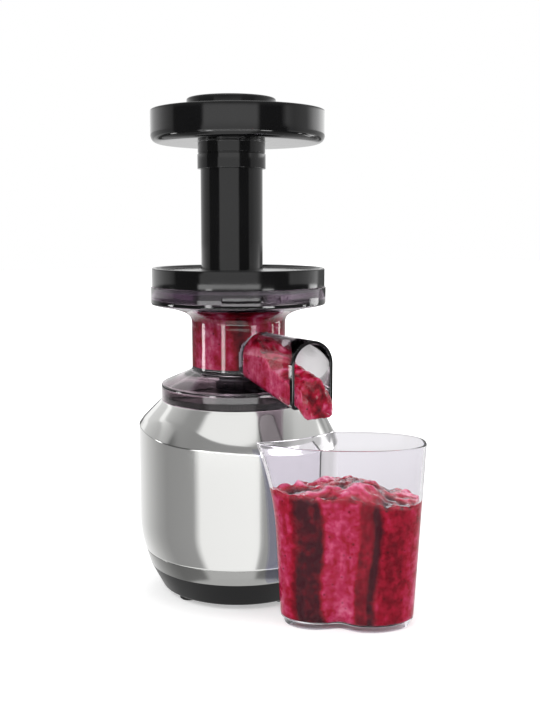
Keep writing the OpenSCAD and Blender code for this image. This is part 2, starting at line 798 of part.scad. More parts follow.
// a rocker whose face is cut by two planes that meet over its pivot
module switch_rocker() color("#262626") translate([0, switch_y, switch_z]) difference() {
    intersection() {
        translate([-rocker_w / 2, -8, -rocker_h / 2]) cube([rocker_w, 20, rocker_h]);
        rotate([0, 90, 0]) cylinder(r = rocker_h / 2 - 0.1, h = rocker_w + 2, center = true);
        for (s = [-1, 1]) rotate([s * rocker_deg, 0, 0])
            translate([-rocker_w, -30, -rocker_h]) cube([2 * rocker_w, 30 + 4.2, 2 * rocker_h]);
    }
    rotate([0, 90, 0]) cylinder(r = rocker_r + run, h = rocker_w + 2, center = true);
}

module interlock_switch() color("#1d2b45") at(plunger_at, roof_z) difference() {
    translate([-micro_w / 2, -micro_l / 2, 0]) cube([micro_w, micro_l, micro_h]);
    translate([0, 0, micro_h - 7]) cylinder(r = plunger_r + gap, h = 8);
}

module interlock_plunger() color("#c8372d") at(plunger_at, plunger_z)
    cylinder(r = plunger_r, h = plunger_top - plunger_z);

module cord_gland() color("#1d1d1d") translate([0, base_foot_r - 4, gland_z])
    rotate([-90, 0, 0]) difference() {
        union() {
            cylinder(r = gland_r, h = base_top_r - base_foot_r + 7);
            translate([0, 0, base_top_r - base_foot_r + 5]) cylinder(r = gland_r + 1.4, h = 3);
        }
        translate([0, 0, -cut]) cylinder(r = cord_r, h = 40);
    }

// ---------- juice bowl ----------

// outer and inner outlines of the bowl, from the skirt's edge up to the rim
function bowl_outer() = concat(
    [[skirt_r, bowl_z]],
    arc([skirt_r - bowl_edge, cone_z - bowl_edge], bowl_edge, 0, 65, 4),
    [[neck_r + 4, neck_z - 2.5], [neck_r, neck_z], [neck_r, flare_z]],
    [for (i = [0 : flare_steps - 2]) flare(0)[i]],
    arc([flange_r - flange_edge, flange_z], flange_edge, -80, 0, 4),
    [[flange_r, rim_z]]);
function flare(inset) = [for (i = [1 : flare_steps])
    let (t = i / flare_steps)
    [neck_r - inset + (flange_r - neck_r) * pow(t, 3),
     flare_z + (flare_h - flange_edge + inset) * pow(t, 0.84)]];
function bowl_inner() = concat(
    [[flange_r - bowl_wall, rim_z]],
    [for (i = [flare_steps - 1 : -1 : 0]) flare(bowl_wall)[i]],
    [[neck_r - bowl_wall, chamber_z], [hub_bore_r, chamber_z], [hub_bore_r, neck_z],
     [hub_r + 2, neck_z], [neck_r - bowl_wall, neck_z - 1], [skirt_r - bowl_wall, cone_z - bowl_edge],
     [skirt_r - bowl_wall, bowl_z]]);

// the spout's section pushed along -Y, kept above its sloping floor
module spout_form(inset, from_y, to_y) {
    half = spout_w / 2 - inset;
    roof = neck_z + spout_rise - inset;
    intersection() {
        translate([0, -from_y, 0]) rotate([90, 0, 0]) linear_extrude(to_y - from_y) union() {
            translate([0, roof - half]) circle(r = half);
            translate([-half, 0]) square([2 * half, roof - half]);
        }
        translate([0, -spout_root, neck_z + inset]) rotate([spout_fall, 0, 0])
            translate([-spout_w, -2 * spout_reach, 0]) cube([2 * spout_w, 3 * spout_reach, 200]);
    }
}

module juice_bowl() color([0.35, 0.30, 0.34, 0.55]) difference() {
    union() {
        rotate_extrude() polygon(concat(bowl_outer(), bowl_inner()));
        difference() {
            spout_form(0, spout_from, spout_reach);
            translate([0, 0, bowl_z]) cylinder(r = neck_r - bowl_wall / 2, h = rim_z - bowl_z);
        }
        spout_rib();
        interlock_rib();
        in_outlet() {
            translate([0, neck_r - bowl_wall + 0.5, 0]) rotate([-90, 0, 0])
                cylinder(r = outlet_r, h = outlet_reach - neck_r + bowl_wall - 0.5);
            outlet_ears();
        }
    }
    spout_form(bowl_wall, spout_from, spout_reach + cut);
    in_outlet() {
        translate([0, neck_r - bowl_wall - 4, 0]) rotate([-90, 0, 0])
            cylinder(r = outlet_r - outlet_wall, h = outlet_reach);
        translate([0, drip_y, drip_z]) rotate([0, 90, 0])
            cylinder(r = drip_pin_r + fit, h = 3 * knuckle_w, center = true);
    }
    for (a = lug_dirs) bayonet_slot(a);
}

// a web that ties the spout's floor to the cone under it
module spout_rib() translate([0, 0, -spout_rib_h]) intersection() {
    spout_form(0, neck_r - bowl_wall / 2, skirt_r - 4);
    translate([-spout_rib_w / 2, -skirt_r, neck_z - 20])
        cube([spout_rib_w, skirt_r, 20 + spout_rib_h + bowl_wall / 2]);
}

// the post under the cone that presses the interlock's plunger
module interlock_rib() intersection() {
    at(plunger_at, plunger_top + gap) cylinder(r = 3.5, h = cone_h + skirt_h);
    rotate_extrude() polygon(concat([[0, bowl_z]], bowl_outer(), [[0, rim_z]]));
}

// the window that a lug of the lid turns in, and the way down to it from the rim
module bayonet_slot(a) {
    translate([0, 0, window_z - gap])
        ring_part(flange_r + 2, lid_plug_r - 0.5, window_h, a - twist_deg - lug_play - lug_deg / 2,
                  a + lug_deg / 2 + lug_play);
    translate([0, 0, window_z - gap])
        ring_part(lid_plug_r + lug_out + gap, lid_plug_r - 1, rim_z - window_z + 3,
                  a - twist_deg - lug_play - lug_deg / 2,
                  a - twist_deg + lug_deg / 2 + lug_play);
}

module bowl_seal() color("#8d8f92") translate([0, 0, seat_z + boss_h + gap])
    ring(hub_r, drive_hex_r + gap, neck_z - seat_z - boss_h - gap);

// the flap that closes the juice outlet, and the ears that carry its pin
module in_outlet() translate([0, 0, outlet_z]) rotate([0, 0, outlet_dir - 90]) children();
module across(w) rotate([90, 0, 90]) translate([0, 0, -w / 2]) linear_extrude(w) children();

module outlet_ears() for (s = [-1, 1]) translate([s * (knuckle_w / 2 + gap + ear_t / 2), 0, 0])
    across(ear_t) {
        translate([drip_y, drip_z]) circle(r = ear_r);
        polygon([[outlet_reach - 8, outlet_r - 2], [outlet_reach, outlet_r - 2],
                 [outlet_reach, outlet_r + 1], [drip_y, drip_z - ear_r],
                 [drip_y, drip_z + ear_r], [outlet_reach - 4, drip_z + ear_r - 1]]);
    }

module drip_stop() color("#2b2b2d") in_outlet() difference() {
    union() {
        translate([0, outlet_reach + gap, 0]) rotate([-90, 0, 0])
            cylinder(r = outlet_r + 0.5, h = drip_t);
        across(knuckle_w) {
            translate([drip_y, drip_z]) circle(r = ear_r - 0.2);
            translate([outlet_reach + gap, 0]) square([drip_t, drip_z]);
        }
    }
    translate([0, drip_y, drip_z]) rotate([0, 90, 0])
        cylinder(r = drip_pin_r + run, h = 3 * knuckle_w, center = true);
}

module drip_pin() color("#ccd0d4") in_outlet() translate([0, drip_y, drip_z])
    rotate([0, 90, 0])
        cylinder(r = drip_pin_r, h = knuckle_w + 2 * (gap + ear_t), center = true);

module strainer_frame() color("#3a3a3e") {
    translate([0, 0, chamber_z]) ring(strainer_r, auger_r + 1, strainer_ring_h);
    translate([0, 0, chamber_z + strainer_h - strainer_ring_h])
        ring(strainer_r, auger_r + 1, strainer_ring_h);
}

module strainer_screen() color("#b9bdc1") difference() {
    translate([0, 0, chamber_z + strainer_ring_h])
        ring(strainer_r, strainer_r - strainer_wall, strainer_h - 2 * strainer_ring_h);
    for (i = [0 : strainer_slots - 1]) rotate([0, 0, (i + 0.5) * 360 / strainer_slots])
        translate([strainer_r - 4, -slot_w / 2, chamber_z + strainer_ring_h + 3])
            cube([8, slot_w, strainer_h - 2 * strainer_ring_h - 6]);
    spout_form(bowl_wall + 1, neck_r - bowl_wall - 8, neck_r + 6);
}

module auger() color("#2a2a2c") difference() {
    union() {
        translate([0, 0, auger_z]) cylinder(r = auger_core_r + 7, h = auger_rim_h);
        translate([0, 0, auger_z]) cylinder(r1 = auger_core_r, r2 = auger_top_r, h = auger_h);
        translate([0, 0, auger_z + auger_rim_h - tiny])
            linear_extrude(auger_h - auger_rim_h - 1, twist = -360 * auger_turns, slices = 40,
                           $fn = 24)
                for (a = [0, 180]) rotate(a) polygon([
                    [0, -flight_w / 2], [auger_r - 1, -flight_w / 2], [auger_r, 0],
                    [auger_r - 1, flight_w / 2], [0, flight_w / 2]]);
    }
    translate([0, 0, auger_z - cut])
        cylinder(r = drive_hex_r + gap, h = socket_h + cut, $fn = 6);
    translate([0, 0, auger_z + auger_h - auger_spigot_h]) cylinder(r = auger_pin_r + fit, h = 30);
}

module auger_pin() color("#ccd0d4") translate([0, 0, auger_z + auger_h - auger_spigot_h + 0.2])
    cylinder(r = auger_pin_r, h = auger_spigot_h + pin_reach);

// ---------- lid ----------

module lid() color("#151516") {
    difference() {
        union() {
            rotate_extrude() polygon(lid_profile());
            translate([0, 0, lid_plate_z]) cylinder(r = lid_plug_r, h = lid_plate_t);
            translate([0, 0, lid_plate_z])
                ring(lid_plug_r, lid_plug_r - lid_wall, lid_top - lid_dish - 1 - lid_plate_z);
            at(tube_axis, lid_plate_z) cylinder(r = tube_r, h = tube_top - lid_plate_z);
            for (a = lug_dirs) translate([0, 0, window_z])
                ring_part(lid_plug_r + lug_out, lid_plug_r - 1, lug_h,
                          a - lug_deg / 2, a + lug_deg / 2);
        }
        at(tube_axis, lid_plate_z - cut)
            cylinder(r = tube_bore_r, h = tube_top - lid_plate_z + 2 * cut);
        translate([0, 0, lid_boss_z]) cylinder(r = boss_pin_r - 1, h = pin_reach + 1);
        translate([0, 0, lid_seal_z])
            ring(lid_plug_r + lug_out, lid_plug_r - lid_seal_t, lid_seal_h);
    }
    translate([0, 0, lid_boss_z]) difference() {
        cylinder(r = boss_pin_r, h = pin_reach + 4);
        translate([0, 0, -cut]) cylinder(r = auger_pin_r + run, h = pin_reach + 1 + cut);
    }
}

// the lid's shell with its dished top and rounded rim
function lid_profile() = concat(
    [[0, lid_top - lid_dish - lid_wall], [lid_r - lid_wall, lid_top - lid_dish - lid_wall],
     [lid_r - lid_wall, lid_z], [lid_r, lid_z]],
    arc([lid_r - 1, lid_top - 1], 1, 0, 90, 3),
    [[lid_r - lid_wall, lid_top], [lid_r - lid_wall - 1.5, lid_top - lid_dish],
     [0, lid_top - lid_dish]]);

module lid_seal() color("#77797c") translate([0, 0, lid_seal_z])
    ring(lid_plug_r, lid_plug_r - lid_seal_t, lid_seal_h);

// ---------- tray and pusher ----------

module food_tray() color("#151516") {
    difference() {
        rotate_extrude() polygon(concat(
            [[0, tray_z]], arc([tray_r - tray_edge_r, tray_z + tray_edge_r], tray_edge_r, -90, 0, 8),
            [[tray_r, tray_z + tray_h - 2]],
            arc([tray_r - 2, tray_z + tray_h - 2], 2, 0, 90, 4),
            [[tray_r - tray_wall, tray_z + tray_h]],
            arc([tray_r - tray_edge_r, tray_z + tray_edge_r], tray_edge_r - tray_wall, 0, -90, 8),
            [[0, tray_floor_z]]));
        at(tube_axis, tray_z - cut) cylinder(r = tube_bore_r, h = tray_h);
    }
    at(tube_axis) rotate_extrude() polygon([
        [tube_r + gap, tray_z + tiny], [tube_r + gap, tray_z - collar_h],
        [collar_r, tray_z - collar_h], [collar_r, tray_z - groove_at - 1],
        [collar_r - groove_d, tray_z - groove_at - 0.8], [collar_r - groove_d, tray_z - groove_at],
        [collar_r - groove_d / 2, tray_z - groove_at + 0.2], [collar_r - groove_d / 2, tray_z + tiny]
    ]);
}

// the stem is a cup closed at its foot, and the cap is a bell that stands on the tray
module pusher_stem() color("#1b1b1c") at(tube_axis, stem_z) difference() {
    cylinder(r = stem_r, h = stem_top - stem_z);
    translate([0, 0, stem_wall]) cylinder(r = stem_r - stem_wall, h = stem_top - stem_z);
    translate([0, 0, pusher_ring_z - stem_z]) ring(stem_r + cut, stem_r - 1, pusher_ring_h);
}

module pusher_cap() color("#1b1b1c") at(tube_axis) rotate_extrude() polygon(concat(
    [[cap_r - cap_wall, cap_z], [cap_r, cap_z]],
    arc([cap_r - cap_round, cap_z + cap_h - cap_round], cap_round, 0, 90, 5),
    [[0, cap_z + cap_h], [0, stem_top], [cap_r - cap_wall, stem_top]]));

module pusher_seal() color("#2a2a2a") at(tube_axis, pusher_ring_z)
    ring(stem_r + 0.4, stem_r - 1, pusher_ring_h);

// ---------- jug ----------

function turn_from(a, b) = (a - b + 540) % 360 - 180;
function bump(a, centre, width) = exp(-pow(turn_from(a, centre) / width, 2));
function soft_min(a, b) = min(a, b) - pow(max(jug_soft - abs(a - b), 0), 2) / (4 * jug_soft);
// distance from the jug's middle to the hollow that runs round the motor base, at angle a
function jug_hollow_r(a, inset) =
    let (off = turn_from(a, jug_base_dir), side = jug_away * sin(off),
         r = body_r + jug_clear + inset)
    abs(off) < 90 && abs(side) < r ? jug_away * cos(off) - sqrt(r * r - side * side) : jug_away;
// distance from the jug's middle to its wall, at angle a and height share s, set in by a wall
function jug_wall_r(a, s, inset) =
    let (half_l = (jug_foot_l + (jug_top_l - jug_foot_l) * s) / 2 - inset,
         half_d = (jug_foot_d + (jug_top_d - jug_foot_d) * s) / 2 - inset,
         lip = max(0, (s - jug_lip_start) / (1 - jug_lip_start)))
    soft_min(pow(pow(abs(cos(a)) / half_l, jug_power) + pow(abs(sin(a)) / half_d, jug_power),
                 -1 / jug_power)
             - jug_grip * (1 - s) * bump(a, jug_grip_dir, jug_grip_deg)
             + jug_lip * lip * lip * bump(a, jug_lip_dir, jug_lip_deg),
             jug_hollow_r(a, inset));
// one closed skin through rings of points, each [inset from the wall, height]
module jug_skin(rings) {
    n = jug_points;
    last = (len(rings) - 1) * n;
    points = [for (ring = rings, i = [0 : n - 1])
        let (a = 360 * i / n, p = polar(jug_wall_r(a, ring[1] / jug_h, ring[0]), a))
        [p[0], p[1], ring[1]]];
    sides = [for (k = [0 : len(rings) - 2], i = [0 : n - 1], half = [0, 1])
        let (a = k * n + i, b = k * n + (i + 1) % n)
        half == 0 ? [a, a + n, b + n] : [a, b + n, b]];
    polyhedron(points = points, faces = concat(
        [[for (i = [0 : n - 1]) i]], sides, [[for (i = [n - 1 : -1 : 0]) last + i]]));
}

// from the hollow under the floor, round the foot ring, up outside and down inside
module jug() color([0.85, 0.86, 0.95, 0.35])
    at(jug_at) rotate([0, 0, jug_turn]) jug_skin(concat(
        [[jug_foot_in + jug_foot_wall, jug_foot_h], [jug_foot_in + jug_foot_wall, 0],
         [jug_foot_in, 0], [jug_foot_in, jug_foot_h]],
        [for (k = [0 : jug_rings]) [0, jug_foot_h + (jug_h - jug_foot_h) * k / jug_rings]],
        [for (k = [jug_rings : -1 : 0])
            [jug_wall, jug_floor_z + (jug_h - jug_floor_z) * k / jug_rings]]));

base_cover();
foot_pads();
base_screws();
trim_ring();
motor_housing();
bowl_seat();
seat_screws();
gearbox_base();
gearbox_cover();
gearbox_screws();
motor_can();
motor_magnets();
motor_end_cap();
motor_brushes();
motor_bushes();
motor_shaft();
rotor_core();
rotor_windings();
commutator();
cooling_fan();
motor_pinion();
gear_a();
gear_a_axle();
gear_b();
gear_b_axle();
output_gear();
output_shaft();
output_bearing();
shaft_seal();
circuit_board();
board_parts();
switch_frame();
switch_rocker();
switch_pivot();
interlock_switch();
interlock_plunger();
cord_gland();
juice_bowl();
bowl_seal();
drip_stop();
drip_pin();
strainer_frame();
strainer_screen();
auger();
auger_pin();
lid();
lid_seal();
food_tray();
pusher_stem();
pusher_cap();
pusher_seal();
jug();
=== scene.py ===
# %% [markdown]
# # A cold press juicer, dressed for a studio picture
# The solids of this juicer come from a CAD file, which is loaded here as a fixed frame.
# The frame says where each piece is and which body it moves with. Blender adds what a CAD
# file can't hold: soft edges, real finishes, the fruit puree, a floor, lamps and a camera.

# %% Load the frame
import math
from math import cos, exp, pi, radians, sin

import bmesh
import bpy
from mathutils import Matrix, Vector, noise


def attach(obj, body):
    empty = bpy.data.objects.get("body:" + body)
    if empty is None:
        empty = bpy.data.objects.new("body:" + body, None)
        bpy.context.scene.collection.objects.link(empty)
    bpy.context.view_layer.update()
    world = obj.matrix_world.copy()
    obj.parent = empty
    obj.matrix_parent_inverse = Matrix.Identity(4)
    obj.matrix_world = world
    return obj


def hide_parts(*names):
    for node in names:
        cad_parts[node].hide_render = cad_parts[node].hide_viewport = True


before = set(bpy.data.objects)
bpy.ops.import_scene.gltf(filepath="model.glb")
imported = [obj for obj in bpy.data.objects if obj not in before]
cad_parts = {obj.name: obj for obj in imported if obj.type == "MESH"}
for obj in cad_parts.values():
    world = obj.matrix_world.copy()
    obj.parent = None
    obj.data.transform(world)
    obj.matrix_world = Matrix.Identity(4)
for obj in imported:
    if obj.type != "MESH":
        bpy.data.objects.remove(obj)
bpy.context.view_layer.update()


# %% [markdown]
# Every size in this lesson is written in millimetres, as on a drawing, and turned to
# metres in one place: where points go into a mesh. A mesh is built from rings of points
# that are joined by quads. The last ring is either joined to the first, which gives a
# closed skin like a bent tube, or both ends get a cap.

# %% Millimetres and meshes
MM = 0.001


def mesh_piece(name, points, faces, material, smooth=True):
    """A mesh object from points in millimetres, with one material."""
    mesh = bpy.data.meshes.new(name)
    mesh.from_pydata([Vector(p) * MM for p in points], [], faces)
    mesh.update()
    mesh.polygons.foreach_set("use_smooth", [smooth] * len(mesh.polygons))
    piece = bpy.data.objects.new(name, mesh)
    bpy.context.scene.collection.objects.link(piece)
    if material:
        mesh.materials.append(material)
    return piece


def grid_faces(rings, count):
    """Quads between rings of points, each with the same count."""
    return [(r * count + c, r * count + (c + 1) % count,
             (r + 1) * count + (c + 1) % count, (r + 1) * count + c)
            for r in range(rings - 1) for c in range(count)]


def outward(piece):
    """Turns all faces of a closed mesh to face outwards."""
    work = bmesh.new()
    work.from_mesh(piece.data)
    bmesh.ops.remove_doubles(work, verts=work.verts, dist=1e-7)
    bmesh.ops.recalc_face_normals(work, faces=work.faces)
    work.to_mesh(piece.data)
    work.free()
    return piece


def lofted(name, rings, material, capped=True, smooth=True):
    """A closed skin over rings of points, capped at both ends or joined last to first."""
    count, last = len(rings[0]), (len(rings) - 1) * len(rings[0])
    faces = grid_faces(len(rings), count)
    if capped:
        faces += [tuple(range(count)), tuple(last + k for k in reversed(range(count)))]
    else:
        faces += [(last + c, last + (c + 1) % count, (c + 1) % count, c) for c in range(count)]
    points = [point for ring in rings for point in ring]
    return outward(mesh_piece(name, points, faces, material, smooth))


def steps_to(end, count, start=0.0):
    """Evenly spaced numbers after a start, up to and with the end."""
    return [start + (end - start) * k / count for k in range(1, count + 1)]


print("a quarter turn in 3 steps:", [round(t, 3) for t in steps_to(pi / 2, 3)])

# %% [markdown]
# Most pieces of this juicer are round: they were drawn as half a section and turned about
# an axis, so they are made the same way here. A section is a list of corners, and each
# corner may carry a radius, as on a drawing. `rounded` swaps such a corner for a short arc.

# %% Sections with rounded corners, turned about an axis
def bent(start, corner, end, steps):
    """Points of a curve from start to end that bends round a corner."""
    start, corner, end = Vector(start), Vector(corner), Vector(end)
    return [tuple(start.lerp(corner, k / steps).lerp(corner.lerp(end, k / steps), k / steps))
            for k in range(steps + 1)]


def rounded(corners, steps=6):
    """Points of a closed section. A corner is (r, z) or (r, z, radius)."""
    out = []
    for i, corner in enumerate(corners):
        here = Vector(corner[:2])
        radius = corner[2] if len(corner) > 2 else 0
        if not radius:
            out.append(tuple(here))
            continue
        to_last = Vector(corners[i - 1][:2]) - here
        to_next = Vector(corners[(i + 1) % len(corners)][:2]) - here
        room = 0.49 * min(to_last.length, to_next.length)
        reach = min(radius / math.tan(to_last.angle(to_next) / 2), room)
        out += bent(here + to_last.normalized() * reach, here,
                    here + to_next.normalized() * reach, steps)
    return out


def round_corner(a, b, c, radius, steps=6):
    """Points of corner b, rounded, between a and c."""
    return rounded([a, (b[0], b[1], radius), c], steps)[1:-1]


def turned(name, section, material, centre=(0, 0), columns=240):
    """A round piece: a section (r, z) turned about a vertical axis at centre."""
    turns = [2 * pi * c / columns for c in range(columns)]
    return lofted(name, [[(centre[0] + r * cos(t), centre[1] + r * sin(t), z) for t in turns]
                         for r, z in section], material, capped=False)


def crisp(piece, angle):
    """Smooth shading that stops at edges sharper than an angle."""
    piece.data.set_sharp_from_angle(angle=radians(angle))
    return piece


print("a rounded corner has", len(round_corner((0, 0), (5, 0), (5, 5), 1)), "points")

# %% [markdown]
# Shop colours are written as sRGB hex values, and Cycles reckons in linear light. One
# function does the change. Another adds a node, sets its inputs and makes its links, so
# that each material below reads as a short recipe.

# %% Colour and node helpers
def linear(hex_colour, share=1.0):
    """A hex sRGB colour as linear red, green, blue and alpha, with a share of its light."""
    parts = [int(hex_colour[i:i + 2], 16) / 255 for i in (0, 2, 4)]
    return [(p / 12.92 if p <= 0.04045 else ((p + 0.055) / 1.055) ** 2.4) * share
            for p in parts] + [1.0]


def grey(value):
    """A ramp stop that stands for a number."""
    return (value, value, value, 1.0)


def add_node(tree, kind, settings=None, inputs=None, stops=(), to=None):
    """Adds a node. An input is a value, or (node, output) for a link. A ramp has stops of
    (place, colour). to=(output, node, input) links the new node onwards."""
    node = tree.nodes.new(kind)
    for key, value in (settings or {}).items():
        setattr(node, key, value)
    for key, value in (inputs or {}).items():
        if isinstance(value, tuple) and isinstance(value[0], bpy.types.Node):
            tree.links.new(value[0].outputs[value[1]], node.inputs[key])
        else:
            node.inputs[key].default_value = value
    for _ in stops[2:]:
        node.color_ramp.elements.new(0.5)
    for k, (place, colour) in enumerate(stops):
        node.color_ramp.elements[k].position = place
        node.color_ramp.elements[k].color = linear(colour) if isinstance(colour, str) else colour
    if to:
        tree.links.new(node.outputs[to[0]], to[1].inputs[to[2]])
    return node


def new_material(name, shader_inputs):
    """A material with one Principled shader, with its tree, shader and object coordinates."""
    material = bpy.data.materials.new(name)
    material.use_nodes = True
    tree = material.node_tree
    shader = tree.nodes["Principled BSDF"]
    for key, value in shader_inputs.items():
        shader.inputs[key].default_value = value
    return material, tree, shader, (add_node(tree, "ShaderNodeTexCoord"), "Object")


def per_mm(size):
    """The texture scale that gives features of a size in millimetres."""
    return 1 / (size * MM)


def patterned(tree, shader, pattern, tints, gloss, height, strength, depth_mm):
    """Lets a pattern steer a shader's colour and roughness, by stops, and a height its relief."""
    for stops, goal in ((tints, "Base Color"), (gloss, "Roughness")):
        if stops:
            add_node(tree, "ShaderNodeValToRGB", inputs={"Fac": pattern}, stops=stops,
                     to=("Color", shader, goal))
    add_node(tree, "ShaderNodeBump", inputs={
        "Height": height, "Strength": strength, "Distance": depth_mm * MM},
        to=("Normal", shader, "Normal"))


print("sRGB 808080 is linear", round(linear("808080")[0], 3))

# %% [markdown]
# ## Finishes
# The motor housing is a moulded shell of ABS that is sprayed with a silver paint of fine
# aluminium flakes and sealed with a clear coat. The eye sees a bright metal that mirrors
# the lamps softly, with a faint grain, and a sharper second gloss from the coat. A metallic
# base with a coat gives both. Flakes are about 0.05 mm, too fine to show, so the grain is
# drawn at 0.6 mm.

# %% Painted silver and painted grey
def flake_paint(name, base_hex, roughness):
    """Aluminium-flake paint under a clear coat."""
    material, tree, shader, where = new_material(name, {
        "Metallic": 1.0, "Coat Weight": 0.4, "Coat Roughness": 0.04})
    grain = (add_node(tree, "ShaderNodeTexNoise", inputs={
        "Vector": where, "Scale": per_mm(0.6), "Detail": 2.0}), "Fac")
    patterned(tree, shader, grain, [(0.3, linear(base_hex, 0.97)), (0.7, base_hex)],
              [(0.3, grey(roughness - 0.02)), (0.7, grey(roughness + 0.02))], grain, 0.05, 0.02)
    return material


silver_paint = flake_paint("silver_paint", "E6E6E4", 0.11)
grey_paint = flake_paint("grey_paint", "A2A2A0", 0.13)
print("painted finishes:", silver_paint.name, grey_paint.name)

# %% [markdown]
# The lid, feed tube, tray and pusher are ABS moulded against polished steel, in black.
# Polished moulding leaves a deep gloss with very shallow waves some 12 mm apart, where the
# plastic shrank as it cooled, and a little dust and handling that dulls it in soft spots.
# The base cover has a fine satin spark-eroded grain instead, drawn at 0.8 mm.

# %% Black plastics
def moulded(name, base_hex, roughness, wave, grain=0.0, specular=0.5):
    """Injection-moulded plastic: shallow waves, uneven gloss and, if asked, a fine grain."""
    material, tree, shader, where = new_material(name, {"Specular IOR Level": specular})
    dull = (add_node(tree, "ShaderNodeTexNoise", inputs={
        "Vector": where, "Scale": per_mm(24), "Detail": 4.0, "Roughness": 0.6}), "Fac")
    height = (add_node(tree, "ShaderNodeTexNoise", inputs={
        "Vector": where, "Scale": per_mm(12), "Detail": 1.0}), "Fac")
    if grain:
        fine = add_node(tree, "ShaderNodeTexNoise", inputs={
            "Vector": where, "Scale": per_mm(0.8), "Detail": 2.0})
        height = (add_node(tree, "ShaderNodeMath", {"operation": "MULTIPLY_ADD"}, {
            0: (fine, "Fac"), 1: grain, 2: height}), "Value")
    patterned(tree, shader, dull, [(0.25, linear(base_hex, 0.85)), (0.75, linear(base_hex, 1.15))],
              [(0.3, grey(roughness)), (0.75, grey(roughness + 0.05))], height, wave, 1.0)
    return material


gloss_black = moulded("gloss_black_abs", "0B0B0C", 0.07, wave=0.04)
satin_black = moulded("satin_black_abs", "08080A", 0.3, wave=0.03, grain=1.2, specular=0.18)
print("black plastics:", gloss_black.name, satin_black.name)

# %% [markdown]
# The bowl is a smoked clear copolyester, moulded and polished, and the jug is the same
# plastic without the smoke. Clear plastic bends light much as glass does, with an IOR of
# 1.57 for this one, so its thick edges look dark and its walls nearly vanish. Lamps have
# to reach what is inside, and Cycles stops their rays at any solid, so for those rays a
# plain transparent shader stands in, and also for mirror images, which stay calm so. The
# jug gets an IOR of 1.25, as a polarising filter would take most of the gloss off it.

# %% Clear plastics
def clear_plastic(name, base_hex, shadow_hex, ior):
    """A clear moulded plastic that lets the lamps' rays through."""
    material, tree, shader, where = new_material(name, {
        "Base Color": linear(base_hex), "Transmission Weight": 1.0, "IOR": ior})
    haze = (add_node(tree, "ShaderNodeTexNoise", inputs={
        "Vector": where, "Scale": per_mm(18), "Detail": 5.0, "Roughness": 0.65}), "Fac")
    flow = (add_node(tree, "ShaderNodeTexNoise", inputs={
        "Vector": where, "Scale": per_mm(14), "Detail": 1.0}), "Fac")
    patterned(tree, shader, haze, None, [(0.35, grey(0)), (0.8, grey(0.06))], flow, 0.03, 1.0)
    through = add_node(tree, "ShaderNodeBsdfTransparent", inputs={"Color": linear(shadow_hex)})
    path = add_node(tree, "ShaderNodeLightPath")
    # a ray that has met a mirror but no clear plastic sees the piece in a mirror image
    outside = add_node(tree, "ShaderNodeMath", {"operation": "MULTIPLY_ADD"}, {
        0: (path, "Transmission Depth"), 1: -50.0, 2: (path, "Glossy Depth")})
    mirrored = add_node(tree, "ShaderNodeMath", {"operation": "GREATER_THAN"}, {
        0: (outside, "Value"), 1: 0.5})
    straight = add_node(tree, "ShaderNodeMath", {"operation": "MAXIMUM"}, {
        0: (path, "Is Shadow Ray"), 1: (mirrored, "Value")})
    add_node(tree, "ShaderNodeMixShader", inputs={
        0: (straight, "Value"), 1: (shader, "BSDF"), 2: (through, "BSDF")},
        to=("Shader", tree.nodes["Material Output"], "Surface"))
    return material, tree, shader, where


clear_jug = clear_plastic("clear_copolyester", "FDFBFF", "F4F4FA", 1.25)[0]
smoked_clear, tree, shader, where = clear_plastic("smoked_clear_copolyester", "E4D8E0",
                                                  "F2ECF0", 1.57)
print("clear plastics:", smoked_clear.name, clear_jug.name)

# %% [markdown]
# The smoke reads darker in the skirt and the flange, and pale in the thin spout. The darker part is
# painted shade for the dark inside the skirt and the flange, which a surface shader can't find, so
# a ramp over the height from 160 to 270 mm stands in for it. A second tint is for all that lies
# more than about 72 mm in front of the axis, which is the outer half of the spout.

# %% Smoke in the bowl
height = add_node(tree, "ShaderNodeSeparateXYZ", inputs={"Vector": where})
level = add_node(tree, "ShaderNodeMapRange", inputs={
    "Value": (height, "Z"), "From Min": 160 * MM, "From Max": 270 * MM})
# the darker stops below 182 mm and above 252 mm are painted shade for the dark inside the skirt and
# the flange
smoke = add_node(tree, "ShaderNodeValToRGB", inputs={"Fac": (level, "Result")}, stops=[
    (0.0, "B4A4AC"), (0.2, "B8A8B0"), (0.31, "ECE0E6"), (0.74, "ECE0E6"), (0.84, "A898A8"),
    (1.0, "A898A8")])
in_front = add_node(tree, "ShaderNodeMapRange", inputs={
    "Value": (height, "Y"), "From Min": -66 * MM, "From Max": -78 * MM})
add_node(tree, "ShaderNodeMix", {"data_type": "RGBA"}, {
    "Factor": (in_front, "Result"), "A": (smoke, "Color"), "B": linear("F8F5F7")},
    to=("Result", shader, "Base Color"))
print("smoked plastic with", len(tree.nodes), "nodes")

# %% [markdown]
# The pieces inside were cut, cast, pressed or moulded, and each keeps a trace of it. One
# recipe covers them: a base colour, a second colour that a pattern brings in, and a
# pattern size. Turned shafts have rings, castings a coarse skin, rubber a fine bloom.

# %% Finishes of the inner pieces
def worked(name, base_hex, second_hex, roughness, metal, pattern_mm, stretch=(1, 1, 1),
           depth=0.05):
    """A finish with a pattern of a size in mm, stretched along an axis if it has a grain."""
    material, tree, shader, where = new_material(name, {"Metallic": metal})
    stretched = add_node(tree, "ShaderNodeMapping", inputs={"Vector": where, "Scale": stretch})
    pattern = (add_node(tree, "ShaderNodeTexNoise", inputs={
        "Vector": (stretched, "Vector"), "Scale": per_mm(pattern_mm), "Detail": 3.0}), "Fac")
    patterned(tree, shader, pattern, [(0.35, second_hex), (0.65, base_hex)],
              [(0.3, grey(roughness)), (0.7, grey(roughness + 0.1))], pattern, depth, 0.5)
    return material


# rings round an upright shaft, and lines along an upright sheet
RINGS, LINES = {"stretch": (0.04, 0.04, 1)}, {"stretch": (1, 1, 0.05)}
